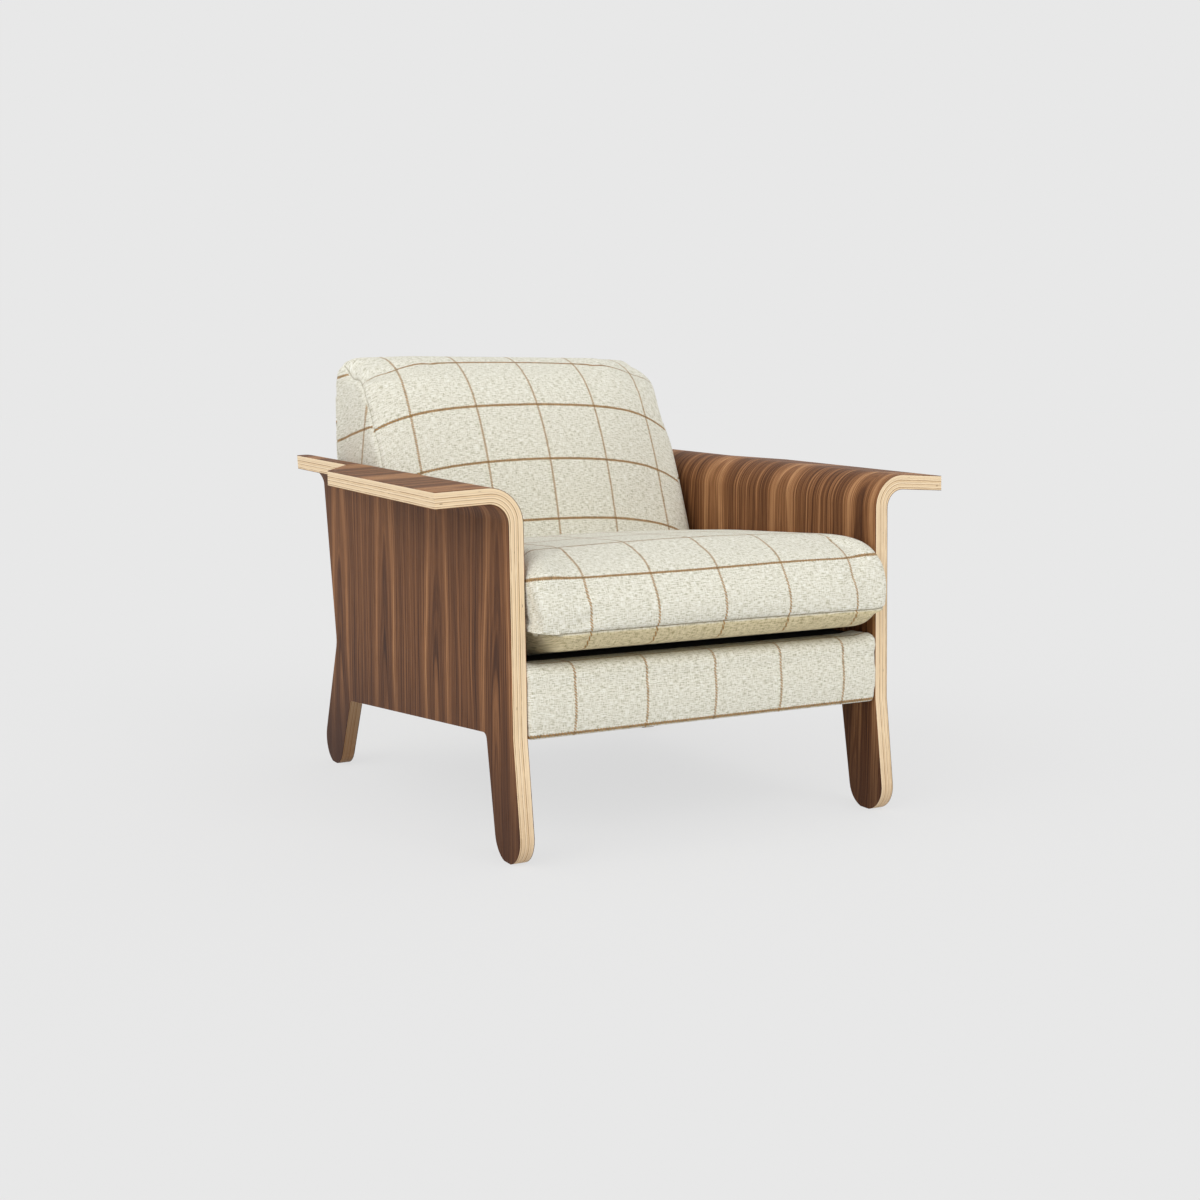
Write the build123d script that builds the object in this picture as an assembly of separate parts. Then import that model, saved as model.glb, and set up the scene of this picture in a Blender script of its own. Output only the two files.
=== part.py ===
from build123d import *
import math
import os

# Upholstered lounge chair: two bent plywood sides carry a seat box, a fixed back and a loose seat cushion.
# Millimetres. +Z is up, the front faces -Y, and +X is to the right seen from the front.
# The origin is on the floor under the middle of the chair.

# Side panels
seat_width = 660.0            # between the inner faces of the two panels
ply = 25.0                    # whole thickness of a panel
veneer = 0.9                  # walnut face veneer on each side
panel_depth = 770.0           # front edge to the knee in the rear edge
front_knee_z = 196.0          # height where the front leg starts to splay
front_lean = 1.7              # degrees, front edge above the knee, leaning back
rear_knee_z = 239.0           # height where the rear leg starts to splay
rear_lean = 10.0              # degrees, rear edge above the knee, leaning back
leg_width = 95.0              # front leg at its top, front to back
front_corner_z = 189.0        # bottom edge of the panel where it meets the front leg
rear_corner_back = 68.0       # rear leg's front corner, in front of the rear knee
rear_corner_z = 136.5         # bottom edge of the panel where it meets the rear leg
front_foot_radius = 44.0      # rounded end of the front leg
front_foot_back = 22.0        # middle of the front foot behind the panel's front edge
rear_foot_radius = 46.0       # rounded end of the rear leg
rear_foot_back = 24.0         # middle of the rear foot behind the rear knee
foot_flat = 1.5               # how much of each rounded foot is planed flat
knee_round = 50.0             # easing of the outline at both knees
front_crotch_round = 12.0     # inner corner of the front leg
rear_crotch_round = 8.0       # inner corner of the rear leg

# Armrests, bent outwards from the panels
arm_z = 574.0                 # top of the armrest at its front
arm_rise = 1.4                # degrees, the armrest climbs towards the back
arm_droop = 2.9               # degrees, the armrest falls away outwards
bend_radius = 31.0            # inside of the bend
arm_reach = 117.0             # width of the armrest outside the panel
lip_reach = 49.0              # width of its narrow rear part outside the panel
arm_length = 470.0            # length of the wide part
step_length = 91.0            # length of the slanted step behind it
step_round = 6.0              # corners of the step

# Seat box
board = 25.0                  # thickness of the hardwood rails
rail_setback = 12.0           # front rail behind the panels' front edge
frame_lift = 6.0              # seat box above the bottom edge of the panels
deck_front_z = 304.0          # top of the seat deck at the panels' front edge
deck_slope = 2.5              # degrees, the deck falls towards the back
corner_block = 60.0           # short sides of the triangular corner blocks
corner_block_height = 55.0

# Seat suspension
strap_width = 60.0
strap_thickness = 2.0
seat_straps = 6
strap_end_margin = 8.0        # straps to the ends of the deck and to the panels
deck_pad_thickness = 10.0
cloth = 1.5                   # thickness of the covers
foam_clearance = 0.5          # foam inside its cover
dust_cloth = 1.0
dust_margin = 8.0             # dust cover to the panels

# Front border
border_bottom_z = 190.0
border_swell = 5.0            # front face in front of the panels' front edge
border_depth = 70.0
border_round = 26.0           # top edge
side_clearance = 0.5          # soft covers to the inner faces of the panels

# Fixed back
back_height = 781.0
back_top_round = 66.0         # height over which the top rolls over
back_reach = 68.0             # rear face behind the rear knee
back_break_z = 600.0          # the rear face leans below this height and stands above it
back_clearance = 7.0          # sides of the back to the inner faces of the panels
back_side_inset = 4.0         # rear face in front of the rear knee
back_foot_depth = 270.0       # front face at the deck, in front of the rear knee
back_rake = 18.5              # degrees, front face at the deck
back_rake_gain = 4.0          # degrees more at the top
back_crown = 40.0             # swell of the front face
back_corner = 40.0            # front corners
back_front_roll = 60.0        # how far the front, rear and sides draw in as the top rolls over
back_rear_roll = 25.0
back_side_roll = 45.0
lower_stations = 6            # cross-sections below the break, from there to the roll, and of the roll
upper_stations = 3
roll_stations = 7
outside_back_thickness = 4.0

# Back frame
post_width = 25.0
post_depth = 45.0
post_top_drop = 69.0          # below the top of the back
top_rail_height = 35.0
lumbar_drop = 232.0           # foot of the lumbar rail below the top of the posts
lumbar_rail_height = 35.0
back_straps = 5
back_strap_width = 50.0
back_strap_margin = 20.0      # outermost straps to the deck and to the top of the posts

# Loose seat cushion
cushion_reach = 30.0          # in front of the panels' front edge
cushion_clearance = 3.0       # fullest part of the sides to the panels
cushion_thickness = 172.0     # at the edges, on the deck
cushion_crown = 8.0           # rise of the top in the middle of its width
cushion_swell = 3.0           # sides, outwards in the middle of their height
cushion_corner = 30.0         # long edges
cushion_nose = 60.0           # length over which the front rolls in
nose_low_roll = 46.0          # how far the underside, top and sides draw in at the front
nose_top_roll = 38.0
nose_side_roll = 5.0
nose_stations = 7
cushion_tail = 40.0           # length over which the rear rolls in
tail_low_roll = 12.0
tail_top_roll = 18.0
tail_side_roll = 10.0
tail_stations = 4
body_stations = 4
cushion_gap = 0.3             # above the deck
cushion_to_back = 10.0        # in front of the back

# Zip on the rear of the cushion
zip_margin = 54.0             # ends of the tape to the sides of the cushion
zip_width = 26.0
zip_thickness = 1.2
slider_length = 14.0
slider_width = 9.0
slider_height = 5.0
slider_gap = 0.3
slider_end_margin = 10.0      # slider to the end of the tape

# Fixings
bolt_radius = 4.0
bolt_head_radius = 7.0
bolt_head_height = 4.5
bolt_hole_radius = 4.5
washer_radius = 10.0
washer_thickness = 1.6
insert_radius = 6.0
insert_length = 16.0
insert_bore_radius = 4.2
insert_clearance = 0.1
bolt_tip_clearance = 2.0      # bolt end to the bottom of its hole
bolts_per_side = 4
bolt_end_margin = 125.0       # first and last bolt from the ends of a side rail
post_bolt_grip = 18.0         # depth of a post bolt's hole in the side rail
post_bolt_spacing = 50.0
post_bolt_setback = 11.0      # behind the front of the post

# Places worked out from the sizes above
inner_x = seat_width / 2
outer_x = inner_x + ply
rail_inner_x = inner_x - board
post_inner_x = rail_inner_x - post_width
rear_reach = max(back_reach, rear_foot_back + rear_foot_radius)
front_y = -(panel_depth + rear_reach - cushion_reach) / 2
rear_y = front_y + panel_depth
frame_front_y = front_y + rail_setback
rail_start_y = frame_front_y + board
border_rear_y = front_y + border_depth
crotch_front_y = front_y + leg_width
crotch_rear_y = rear_y - rear_corner_back
foot_of_back_y = rear_y - back_foot_depth
back_half_width = inner_x - back_clearance
post_top_z = back_height - post_top_drop
lumbar_rail_z = post_top_z - lumbar_drop
cushion_half_width = inner_x - cushion_clearance - cushion_swell
zip_length = 2 * (cushion_half_width - zip_margin)
reach_all = 2 * (panel_depth + back_height)      # longer than anything that is cut


def tan(degrees):
    return math.tan(math.radians(degrees))


def quarter_round(share):
    """0 where a rounded end starts, 1 at its tip."""
    return 1 - math.sqrt(1 - share ** 2)


# Heights and faces that several pieces share

def deck_z(y):
    """Top of the seat deck."""
    return deck_front_z - tan(deck_slope) * (y - front_y)


def suspension_z(y):
    """Top of the rails, below the straps, the pad and the deck cover."""
    return deck_z(y) - cloth - deck_pad_thickness - strap_thickness


def under_z(y):
    """Bottom of the seat box, in line with the bottom edge of the panels."""
    fall = (front_corner_z - rear_corner_z) / (crotch_rear_y - crotch_front_y)
    return front_corner_z - fall * (y - crotch_front_y) + frame_lift


def back_rear(z):
    """Rear face of the back: leaning up to the break, upright above it."""
    share = min((z - rear_knee_z) / (back_break_z - rear_knee_z), 1)
    return rear_y - back_side_inset + share * (back_reach + back_side_inset)


back_foot_z = deck_z(foot_of_back_y) + cushion_gap


def back_share(z):
    """0 at the foot of the back on the deck, 1 at its top."""
    return min(max((z - back_foot_z) / (back_height - back_foot_z), 0), 1)


def back_front(z):
    """Front face of the back along its side seams, a little steeper lower down."""
    return foot_of_back_y + tan(back_rake + back_rake_gain * back_share(z)) * (z - back_foot_z)


def back_swell(z):
    """Swell of the front face in the middle of its width, fullest above half height."""
    return back_crown * math.sin(math.pi * back_share(z) ** 1.6)


def rear_end(height_at):
    """Point where a line along the seat box meets the inside of the outside back."""
    y = rear_y
    for _ in range(20):
        y = back_rear(height_at(y)) - outside_back_thickness
    return (y, height_at(y))


rail_low_end = rear_end(under_z)
rail_top_end = rear_end(suspension_z)
deck_end_y = rail_top_end[0] - post_depth - strap_end_margin
frame_foot_z = under_z(rail_low_end[0] - post_depth - board)      # foot of the posts and the rear rail


# Helpers for plain shapes

def block(x0, x1, y0, y1, z0, z1):
    return Pos((x0 + x1) / 2, (y0 + y1) / 2, (z0 + z1) / 2) * Box(x1 - x0, y1 - y0, z1 - z0)


def rod(radius, x0, x1, y, z):
    """Round bar along X."""
    return Pos((x0 + x1) / 2, y, z) * Rot(0, 90, 0) * Cylinder(radius, x1 - x0)


def side_prism(points, x0, x1):
    """Solid with the given outline seen from the side, between two X values."""
    face = Plane.YZ * make_face(Polyline(*points, close=True))
    return Pos(x0, 0, 0) * extrude(face, amount=x1 - x0)


def deck_layer(y0, y1, low, high, half_width):
    """Slab along the sloping deck, between two heights above the tops of the rails."""
    return side_prism([
        (y0, suspension_z(y0) + low), (y1, suspension_z(y1) + low),
        (y1, suspension_z(y1) + high), (y0, suspension_z(y0) + high)], -half_width, half_width)


def rear_layer(z0, z1, near, far, x0, x1):
    """Upright slab between two depths in front of the rear face of the back."""
    heights = [z0, back_break_z, z1] if z0 < back_break_z < z1 else [z0, z1]
    behind = [(back_rear(z) - near, z) for z in heights]
    before = [(back_rear(z) - far, z) for z in reversed(heights)]
    return side_prism(behind + before, x0, x1)


def other_side(solid):
    return mirror(solid, about=Plane.YZ)


def group(solids):
    return Compound(children=list(solids))


def both_sides(solids):
    return group([*solids, *[other_side(solid) for solid in solids]])


def rounded_corner(face, point, radius):
    corner = face.vertices().sort_by_distance(Vector(point[0], point[1], 0))[0]
    return fillet(corner, radius)


# Bent plywood panels

def tangent_point(start, centre, radius, turn):
    """Where a line from start touches a circle, on the side that turn (+1 or -1) picks."""
    dy, dz = centre[0] - start[0], centre[1] - start[1]
    distance = math.hypot(dy, dz)
    angle = math.atan2(dz, dy) + turn * math.asin(radius / distance)
    length = math.sqrt(distance ** 2 - radius ** 2)
    return (start[0] + length * math.cos(angle), start[1] + length * math.sin(angle))


def panel_outline():
    """Side view of a panel with its two legs, open upwards past the armrest."""
    top_z = arm_z + 4 * ply
    front_knee = (front_y, front_knee_z)
    rear_knee = (rear_y, rear_knee_z)
    front_crotch = (crotch_front_y, front_corner_z)
    rear_crotch = (crotch_rear_y, rear_corner_z)
    front_foot = (front_y + front_foot_back, front_foot_radius - foot_flat)
    rear_foot = (rear_y + rear_foot_back, rear_foot_radius - foot_flat)
    front_top = (front_y + tan(front_lean) * (top_z - front_knee_z), top_z)
    rear_top = (rear_y + tan(rear_lean) * (top_z - rear_knee_z), top_z)
    front_toe = tangent_point(front_knee, front_foot, front_foot_radius, -1)
    front_heel = tangent_point(front_crotch, front_foot, front_foot_radius, 1)
    rear_toe = tangent_point(rear_crotch, rear_foot, rear_foot_radius, -1)
    rear_heel = tangent_point(rear_knee, rear_foot, rear_foot_radius, 1)
    face = make_face([
        Line(front_top, front_knee),
        Line(front_knee, front_toe),
        ThreePointArc(front_toe, (front_foot[0], -foot_flat), front_heel),
        Line(front_heel, front_crotch),
        Line(front_crotch, rear_crotch),
        Line(rear_crotch, rear_toe),
        ThreePointArc(rear_toe, (rear_foot[0], -foot_flat), rear_heel),
        Line(rear_heel, rear_knee),
        Line(rear_knee, rear_top),
        Line(rear_top, front_top),
    ])
    face = rounded_corner(face, front_knee, knee_round)
    face = rounded_corner(face, rear_knee, knee_round)
    face = rounded_corner(face, front_crotch, front_crotch_round)
    return rounded_corner(face, rear_crotch, rear_crotch_round)


def armrest_plan():
    """Plan of a panel and its armrest, with the slanted step to the narrow rear part."""
    wide_x = outer_x + arm_reach
    narrow_x = outer_x + lip_reach
    wide_corner = (wide_x, front_y + arm_length)
    narrow_corner = (narrow_x, front_y + arm_length + step_length)
    face = make_face(Polyline(
        (0, -reach_all), (wide_x, -reach_all), wide_corner, narrow_corner,
        (narrow_x, reach_all), (0, reach_all), close=True))
    face = rounded_corner(face, wide_corner, step_round)
    return rounded_corner(face, narrow_corner, step_round)


def bent_sheet(near, far):
    """Layer of the bent sheet between two depths below its inner face."""
    centre = (outer_x + bend_radius, arm_z - ply - bend_radius)
    turn = -(90 + arm_droop)
    top_arc = CenterArc(centre, bend_radius + ply - near, 180, turn)
    low_arc = CenterArc(centre, bend_radius + ply - far, 180, turn)
    droop = math.radians(arm_droop)
    along = Vector(math.cos(droop), -math.sin(droop)) * 2 * arm_reach
    near_foot = (inner_x + near, -2 * ply)
    far_foot = (inner_x + far, -2 * ply)
    face = make_face([
        Line(near_foot, top_arc @ 0),
        top_arc,
        Line(top_arc @ 1, top_arc @ 1 + along),
        Line(top_arc @ 1 + along, low_arc @ 1 + along),
        Line(low_arc @ 1 + along, low_arc @ 1),
        low_arc,
        Line(low_arc @ 0, far_foot),
        Line(far_foot, near_foot),
    ])
    sheet = extrude(Plane.XZ * face, amount=reach_all, both=True)
    pivot = Pos(0, front_y, arm_z)
    return pivot * Rot(arm_rise, 0, 0) * pivot.inverse() * sheet


panel_side = extrude(Plane.YZ * panel_outline(), amount=outer_x + 2 * arm_reach)
panel_plan = extrude(armrest_plan(), amount=reach_all)


def panel_layer(near, far):
    """One layer of the right panel, cut to the side outline and the plan; the plan starts at the floor."""
    return bent_sheet(near, far) & panel_side & panel_plan


bolt_places = []
for place in range(bolts_per_side):
    share = place / (bolts_per_side - 1)
    first_y = rail_start_y + bolt_end_margin
    last_y = rail_low_end[0] - bolt_end_margin
    bolt_y = first_y + share * (last_y - first_y)
    bolt_places.append((bolt_y, (under_z(bolt_y) + suspension_z(bolt_y)) / 2))
insert_end_x = inner_x + insert_length
insert_holes = [
    rod(insert_radius + insert_clearance, rail_inner_x, insert_end_x + insert_clearance, y, z)
    for y, z in bolt_places
]
panel_core = panel_layer(veneer, ply - veneer) - insert_holes
inner_veneer = panel_layer(0, veneer) - insert_holes
outer_veneer = panel_layer(ply - veneer, ply)

# Seat box

front_rail_top = suspension_z(rail_start_y)
border_half = inner_x - side_clearance
front_rail = block(
    -border_half + cloth, border_half - cloth, frame_front_y, rail_start_y, border_bottom_z + cloth, front_rail_top)

post_bolt_mid_z = (rail_low_end[1] + rail_top_end[1]) / 2
post_bolt_places = []
for z in (post_bolt_mid_z - post_bolt_spacing / 2, post_bolt_mid_z + post_bolt_spacing / 2):
    post_bolt_places.append((back_rear(z) - outside_back_thickness - post_depth + post_bolt_setback, z))
post_bolt_tip_x = rail_inner_x + post_bolt_grip
rail_holes = [rod(bolt_hole_radius, rail_inner_x - 1, inner_x + 1, y, z) for y, z in bolt_places]
post_holes = [rod(bolt_hole_radius, post_inner_x - 1, post_bolt_tip_x, y, z) for y, z in post_bolt_places]

side_rail = side_prism(
    [(rail_start_y, under_z(rail_start_y)), rail_low_end, rail_top_end, (rail_start_y, suspension_z(rail_start_y))],
    rail_inner_x, inner_x)
side_rail = side_rail - rail_holes - post_holes
rear_rail = rear_layer(
    frame_foot_z, rail_top_end[1], outside_back_thickness, outside_back_thickness + board,
    -post_inner_x, post_inner_x)
post = rear_layer(
    frame_foot_z, post_top_z, outside_back_thickness, outside_back_thickness + post_depth,
    post_inner_x, rail_inner_x)
post = post - post_holes


def corner_wedge(y, x, inwards):
    """Triangular block in the corner between a cross rail at y and a face at x."""
    plan = make_face(Polyline(
        (x, y), (x - corner_block, y), (x, y + inwards * corner_block), close=True))
    low = max(under_z(y), under_z(y + inwards * corner_block)) + frame_lift
    return Pos(0, 0, low) * extrude(plan, amount=corner_block_height)


rear_wedge_low = under_z(rail_low_end[0] - post_depth - corner_block) + frame_lift
rear_wedge_y = back_rear(rear_wedge_low) - outside_back_thickness - post_depth - cloth
corner_blocks = both_sides([corner_wedge(rail_start_y, rail_inner_x, 1), corner_wedge(rear_wedge_y, rail_inner_x, -1)])

# Seat suspension

deck_half = inner_x - side_clearance
strap_half = inner_x - strap_end_margin
strap_low_y = border_rear_y + strap_end_margin
strap_high_y = deck_end_y - strap_end_margin - strap_width
strap_pitch = (strap_high_y - strap_low_y) / (seat_straps - 1)
seat_webbing = group([
    deck_layer(
        strap_low_y + strap_pitch * place, strap_low_y + strap_pitch * place + strap_width,
        0, strap_thickness, strap_half)
    for place in range(seat_straps)
])
pad_top = strap_thickness + deck_pad_thickness
deck_pad = deck_layer(border_rear_y, deck_end_y, strap_thickness, pad_top, deck_half)
deck_cover = deck_layer(border_rear_y, deck_end_y, pad_top, pad_top + cloth, deck_half)
dust_end_y = rail_low_end[0]
dust_half = inner_x - dust_margin
dust_cover = side_prism([
    (rail_start_y, under_z(rail_start_y) - dust_cloth), (dust_end_y, under_z(dust_end_y) - dust_cloth),
    (dust_end_y, under_z(dust_end_y)), (rail_start_y, under_z(rail_start_y))], -dust_half, dust_half)

# Front border


def border_form(inset, tail):
    """Padded front border seen from the side, drawn in by inset; tail lengthens it to the rear."""
    low = border_bottom_z + inset
    front = front_y + inset
    top = deck_z(front + border_round) - inset
    middle_z = (low + top - border_round) / 2
    rear = border_rear_y + tail
    rear_top = deck_z(border_rear_y) - inset
    slant = math.sqrt(0.5) * border_round
    round_mid = (front + border_round - slant, top - border_round + slant)
    face = make_face([
        Line((rear, low), (front, low)),
        ThreePointArc((front, low), (front - border_swell, middle_z), (front, top - border_round)),
        ThreePointArc((front, top - border_round), round_mid, (front + border_round, top)),
        Line((front + border_round, top), (rear, rear_top)),
        Line((rear, rear_top), (rear, low)),
    ])
    half = border_half - inset
    return Pos(-half, 0, 0) * extrude(Plane.YZ * face, amount=2 * half)


rail_space = block(-inner_x, inner_x, frame_front_y, reach_all, border_bottom_z - 1, front_rail_top)
box_space = block(-inner_x, inner_x, rail_start_y, reach_all, border_bottom_z + cloth, front_rail_top)
front_border_foam = (border_form(cloth + foam_clearance, 0) - rail_space)
front_border_cover = border_form(0, 0) - border_form(cloth, cloth) - box_space

# Fixed back


def back_section(z, height, inset):
    """Level cut through the padded back; its front swells, and its corners roll in near the top."""
    roll = quarter_round(max((z - height + back_top_round) / back_top_round, 0))
    front = back_front(z) + roll * back_front_roll + inset
    rear = back_rear(z) - outside_back_thickness - roll * back_rear_roll - inset
    half = back_half_width - roll * back_side_roll - inset
    corner = min(back_corner, (rear - front) / 4)
    cut = corner * (1 - math.sqrt(0.5))
    swell = back_swell(z)
    face = make_face([
        ThreePointArc((-half + corner, front), (0, front - swell - cloth), (half - corner, front)),
        ThreePointArc((half - corner, front), (half - cut, front + cut), (half, front + corner)),
        Line((half, front + corner), (half, rear)),
        Line((half, rear), (-half, rear)),
        Line((-half, rear), (-half, front + corner)),
        ThreePointArc((-half, front + corner), (-half + cut, front + cut), (-half + corner, front)),
    ])
    return Pos(0, 0, z) * face


def back_form(inset, open_foot):
    """Padded back drawn in by inset, lengthened downwards by open_foot."""
    height = back_height - inset
    roll_z = height - back_top_round
    low = back_foot_z - open_foot
    heights = [low + (back_break_z - low) * place / lower_stations for place in range(lower_stations)]
    heights += [back_break_z + (roll_z - back_break_z) * place / upper_stations for place in range(upper_stations)]
    for place in range(roll_stations):
        heights.append(roll_z + back_top_round * math.sin(math.pi / 2 * place / (roll_stations - 1)))
    return loft([back_section(z, height, inset) for z in heights], ruled=True)


back_roll_z = back_height - back_top_round
rear_opening = rear_layer(
    back_foot_z - post_depth, back_roll_z, -post_depth, outside_back_thickness + 2 * cloth,
    cloth - back_half_width, back_half_width - cloth)
back_shell = back_form(0, 0) - back_form(cloth, cloth) - rear_opening
seam_x = back_half_width - back_corner * (1 - math.sqrt(0.5))
front_part = block(-seam_x, seam_x, -reach_all, reach_all, 0, reach_all)
right_part = block(seam_x, reach_all, -reach_all, reach_all, 0, reach_all)
back_front_panel = back_shell & front_part
back_right_boxing = back_shell & right_part
frame_space = rear_layer(
    back_foot_z - post_depth, post_top_z, -post_depth,
    outside_back_thickness + post_depth + strap_thickness, -rail_inner_x, rail_inner_x)
back_foam = back_form(cloth + foam_clearance, 0) - frame_space
outside_back = rear_layer(
    rail_low_end[1], back_roll_z, 0, outside_back_thickness, -back_half_width, back_half_width)


def cross_rail(z, height):
    return rear_layer(
        z, z + height, outside_back_thickness, outside_back_thickness + board, -post_inner_x, post_inner_x)


top_rail = cross_rail(post_top_z - top_rail_height, top_rail_height)
lumbar_rail = cross_rail(lumbar_rail_z, lumbar_rail_height)
strap_near = outside_back_thickness + post_depth
first_strap_z = back_foot_z + back_strap_margin
last_strap_z = post_top_z - back_strap_margin - back_strap_width
back_strap_pitch = (last_strap_z - first_strap_z) / (back_straps - 1)
back_webbing = group([
    rear_layer(
        first_strap_z + place * back_strap_pitch, first_strap_z + place * back_strap_pitch + back_strap_width,
        strap_near, strap_near + strap_thickness, -rail_inner_x, rail_inner_x)
    for place in range(back_straps)
])

# Loose seat cushion


def cushion_rear_y(z):
    """Rear of the cushion, clear of the swell of the back."""
    return back_front(z) - back_swell(z) - cushion_to_back


cushion_tail_y = cushion_rear_y(back_foot_z)
cushion_top_z = deck_z(cushion_tail_y) + cushion_thickness
cushion_tilt = math.degrees(math.atan(
    (cushion_rear_y(cushion_top_z) - cushion_tail_y) / (cushion_top_z - back_foot_z)))


def upright_plane(y, tilt):
    """Plane across the seat that meets the deck at y and leans back by tilt."""
    lean = math.radians(tilt)
    return Plane(origin=(0, y, deck_z(y)), x_dir=(1, 0, 0), z_dir=(0, -math.cos(lean), math.sin(lean)))


def cushion_section(y, tilt, low_roll, top_roll, side_roll, crown, inset):
    """Cut across the cushion: flat underside, swelling sides and a crowned top."""
    low = cushion_gap + low_roll + inset
    top = cushion_gap + cushion_thickness - top_roll - inset
    half = cushion_half_width - side_roll - inset
    corner = min(cushion_corner, (top - low) / 4)
    cut = corner * (1 - math.sqrt(0.5))
    middle = (low + top) / 2
    face = make_face([
        Line((-half + corner, low), (half - corner, low)),
        ThreePointArc((half - corner, low), (half - cut, low + cut), (half, low + corner)),
        ThreePointArc((half, low + corner), (half + cushion_swell, middle), (half, top - corner)),
        ThreePointArc((half, top - corner), (half - cut, top - cut), (half - corner, top)),
        ThreePointArc((half - corner, top), (0, top + crown), (-half + corner, top)),
        ThreePointArc((-half + corner, top), (-half + cut, top - cut), (-half, top - corner)),
        ThreePointArc((-half, top - corner), (-half - cushion_swell, middle), (-half, low + corner)),
        ThreePointArc((-half, low + corner), (-half + cut, low + cut), (-half + corner, low)),
    ])
    return upright_plane(y, tilt) * face


def cushion_form(inset):
    """Cushion drawn in by inset: rolled nose, body that tilts towards the back, rolled tail."""
    nose_y = front_y - cushion_reach + inset
    body_y = nose_y + cushion_nose
    tail_y = cushion_tail_y - inset
    tail_start_y = tail_y - cushion_tail
    sections = []
    for place in range(nose_stations):
        share = math.cos(math.pi / 2 * place / (nose_stations - 1))
        roll = quarter_round(share)
        sections.append(cushion_section(
            body_y - cushion_nose * share, 0, nose_low_roll * roll, nose_top_roll * roll,
            nose_side_roll * roll, cushion_crown * (1 - roll) + 1, inset))
    for place in range(1, body_stations + 1):
        share = place / body_stations
        sections.append(cushion_section(
            body_y + (tail_start_y - body_y) * share, cushion_tilt * share, 0, 0, 0, cushion_crown, inset))
    for place in range(1, tail_stations + 1):
        share = math.sin(math.pi / 2 * place / tail_stations)
        roll = quarter_round(share)
        sections.append(cushion_section(
            tail_start_y + cushion_tail * share, cushion_tilt, tail_low_roll * roll, tail_top_roll * roll,
            tail_side_roll * roll, cushion_crown * (1 - roll) + 1, inset))
    return loft(sections, ruled=True)


cushion_cover = cushion_form(0) - cushion_form(cloth)
cushion_foam = cushion_form(cloth + foam_clearance)

tail_plane = upright_plane(cushion_tail_y, cushion_tilt)
zip_v = (cushion_thickness + tail_low_roll - tail_top_roll) / 2
zip_tape = tail_plane * Pos(0, zip_v, -zip_thickness / 2) * Box(zip_length, zip_width, zip_thickness)
slider_u = (slider_length - zip_length) / 2 + slider_end_margin
slider_w = -zip_thickness - slider_gap - slider_height / 2
zip_slider = tail_plane * Pos(slider_u, zip_v, slider_w) * Box(slider_length, slider_width, slider_height)

# Fixings

washer_x = rail_inner_x - washer_thickness
bolt_tip_x = insert_end_x - bolt_tip_clearance
side_bolts = []
bolt_washers = []
insert_nuts = []
for y, z in bolt_places:
    head = rod(bolt_head_radius, washer_x - bolt_head_height, washer_x, y, z)
    side_bolts.append(head + rod(bolt_radius, washer_x, bolt_tip_x, y, z))
    bolt_washers.append(rod(washer_radius, washer_x, rail_inner_x, y, z) - rod(bolt_hole_radius, 0, inner_x, y, z))
    insert_nuts.append(
        rod(insert_radius, inner_x, insert_end_x, y, z) - rod(insert_bore_radius, 0, insert_end_x + 1, y, z))
post_bolts = []
for y, z in post_bolt_places:
    head = rod(bolt_head_radius, post_inner_x - bolt_head_height, post_inner_x, y, z)
    post_bolts.append(head + rod(bolt_radius, post_inner_x, post_bolt_tip_x - bolt_tip_clearance, y, z))

pieces = {
    "right_panel_core": panel_core,
    "right_inner_veneer": inner_veneer,
    "right_outer_veneer": outer_veneer,
    "left_panel_core": other_side(panel_core),
    "left_inner_veneer": other_side(inner_veneer),
    "left_outer_veneer": other_side(outer_veneer),
    "front_rail": front_rail,
    "rear_rail": rear_rail,
    "right_side_rail": side_rail,
    "left_side_rail": other_side(side_rail),
    "corner_blocks": corner_blocks,
    "seat_webbing": seat_webbing,
    "deck_pad": deck_pad,
    "deck_cover": deck_cover,
    "dust_cover": dust_cover,
    "front_border_foam": front_border_foam,
    "front_border_cover": front_border_cover,
    "right_back_post": post,
    "left_back_post": other_side(post),
    "top_rail": top_rail,
    "lumbar_rail": lumbar_rail,
    "back_webbing": back_webbing,
    "back_foam": back_foam,
    "back_front_panel": back_front_panel,
    "back_right_boxing": back_right_boxing,
    "back_left_boxing": other_side(back_right_boxing),
    "outside_back": outside_back,
    "cushion_foam": cushion_foam,
    "cushion_cover": cushion_cover,
    "zip_tape": zip_tape,
    "zip_slider": zip_slider,
    "side_bolts": both_sides(side_bolts),
    "bolt_washers": both_sides(bolt_washers),
    "insert_nuts": both_sides(insert_nuts),
    "post_bolts": both_sides(post_bolts),
}

os.makedirs("parts", exist_ok=True)
for name, shape in pieces.items():
    export_step(shape, f"parts/{name}.step")
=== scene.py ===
import math

import bpy
import numpy as np
from mathutils import Matrix, Vector


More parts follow.
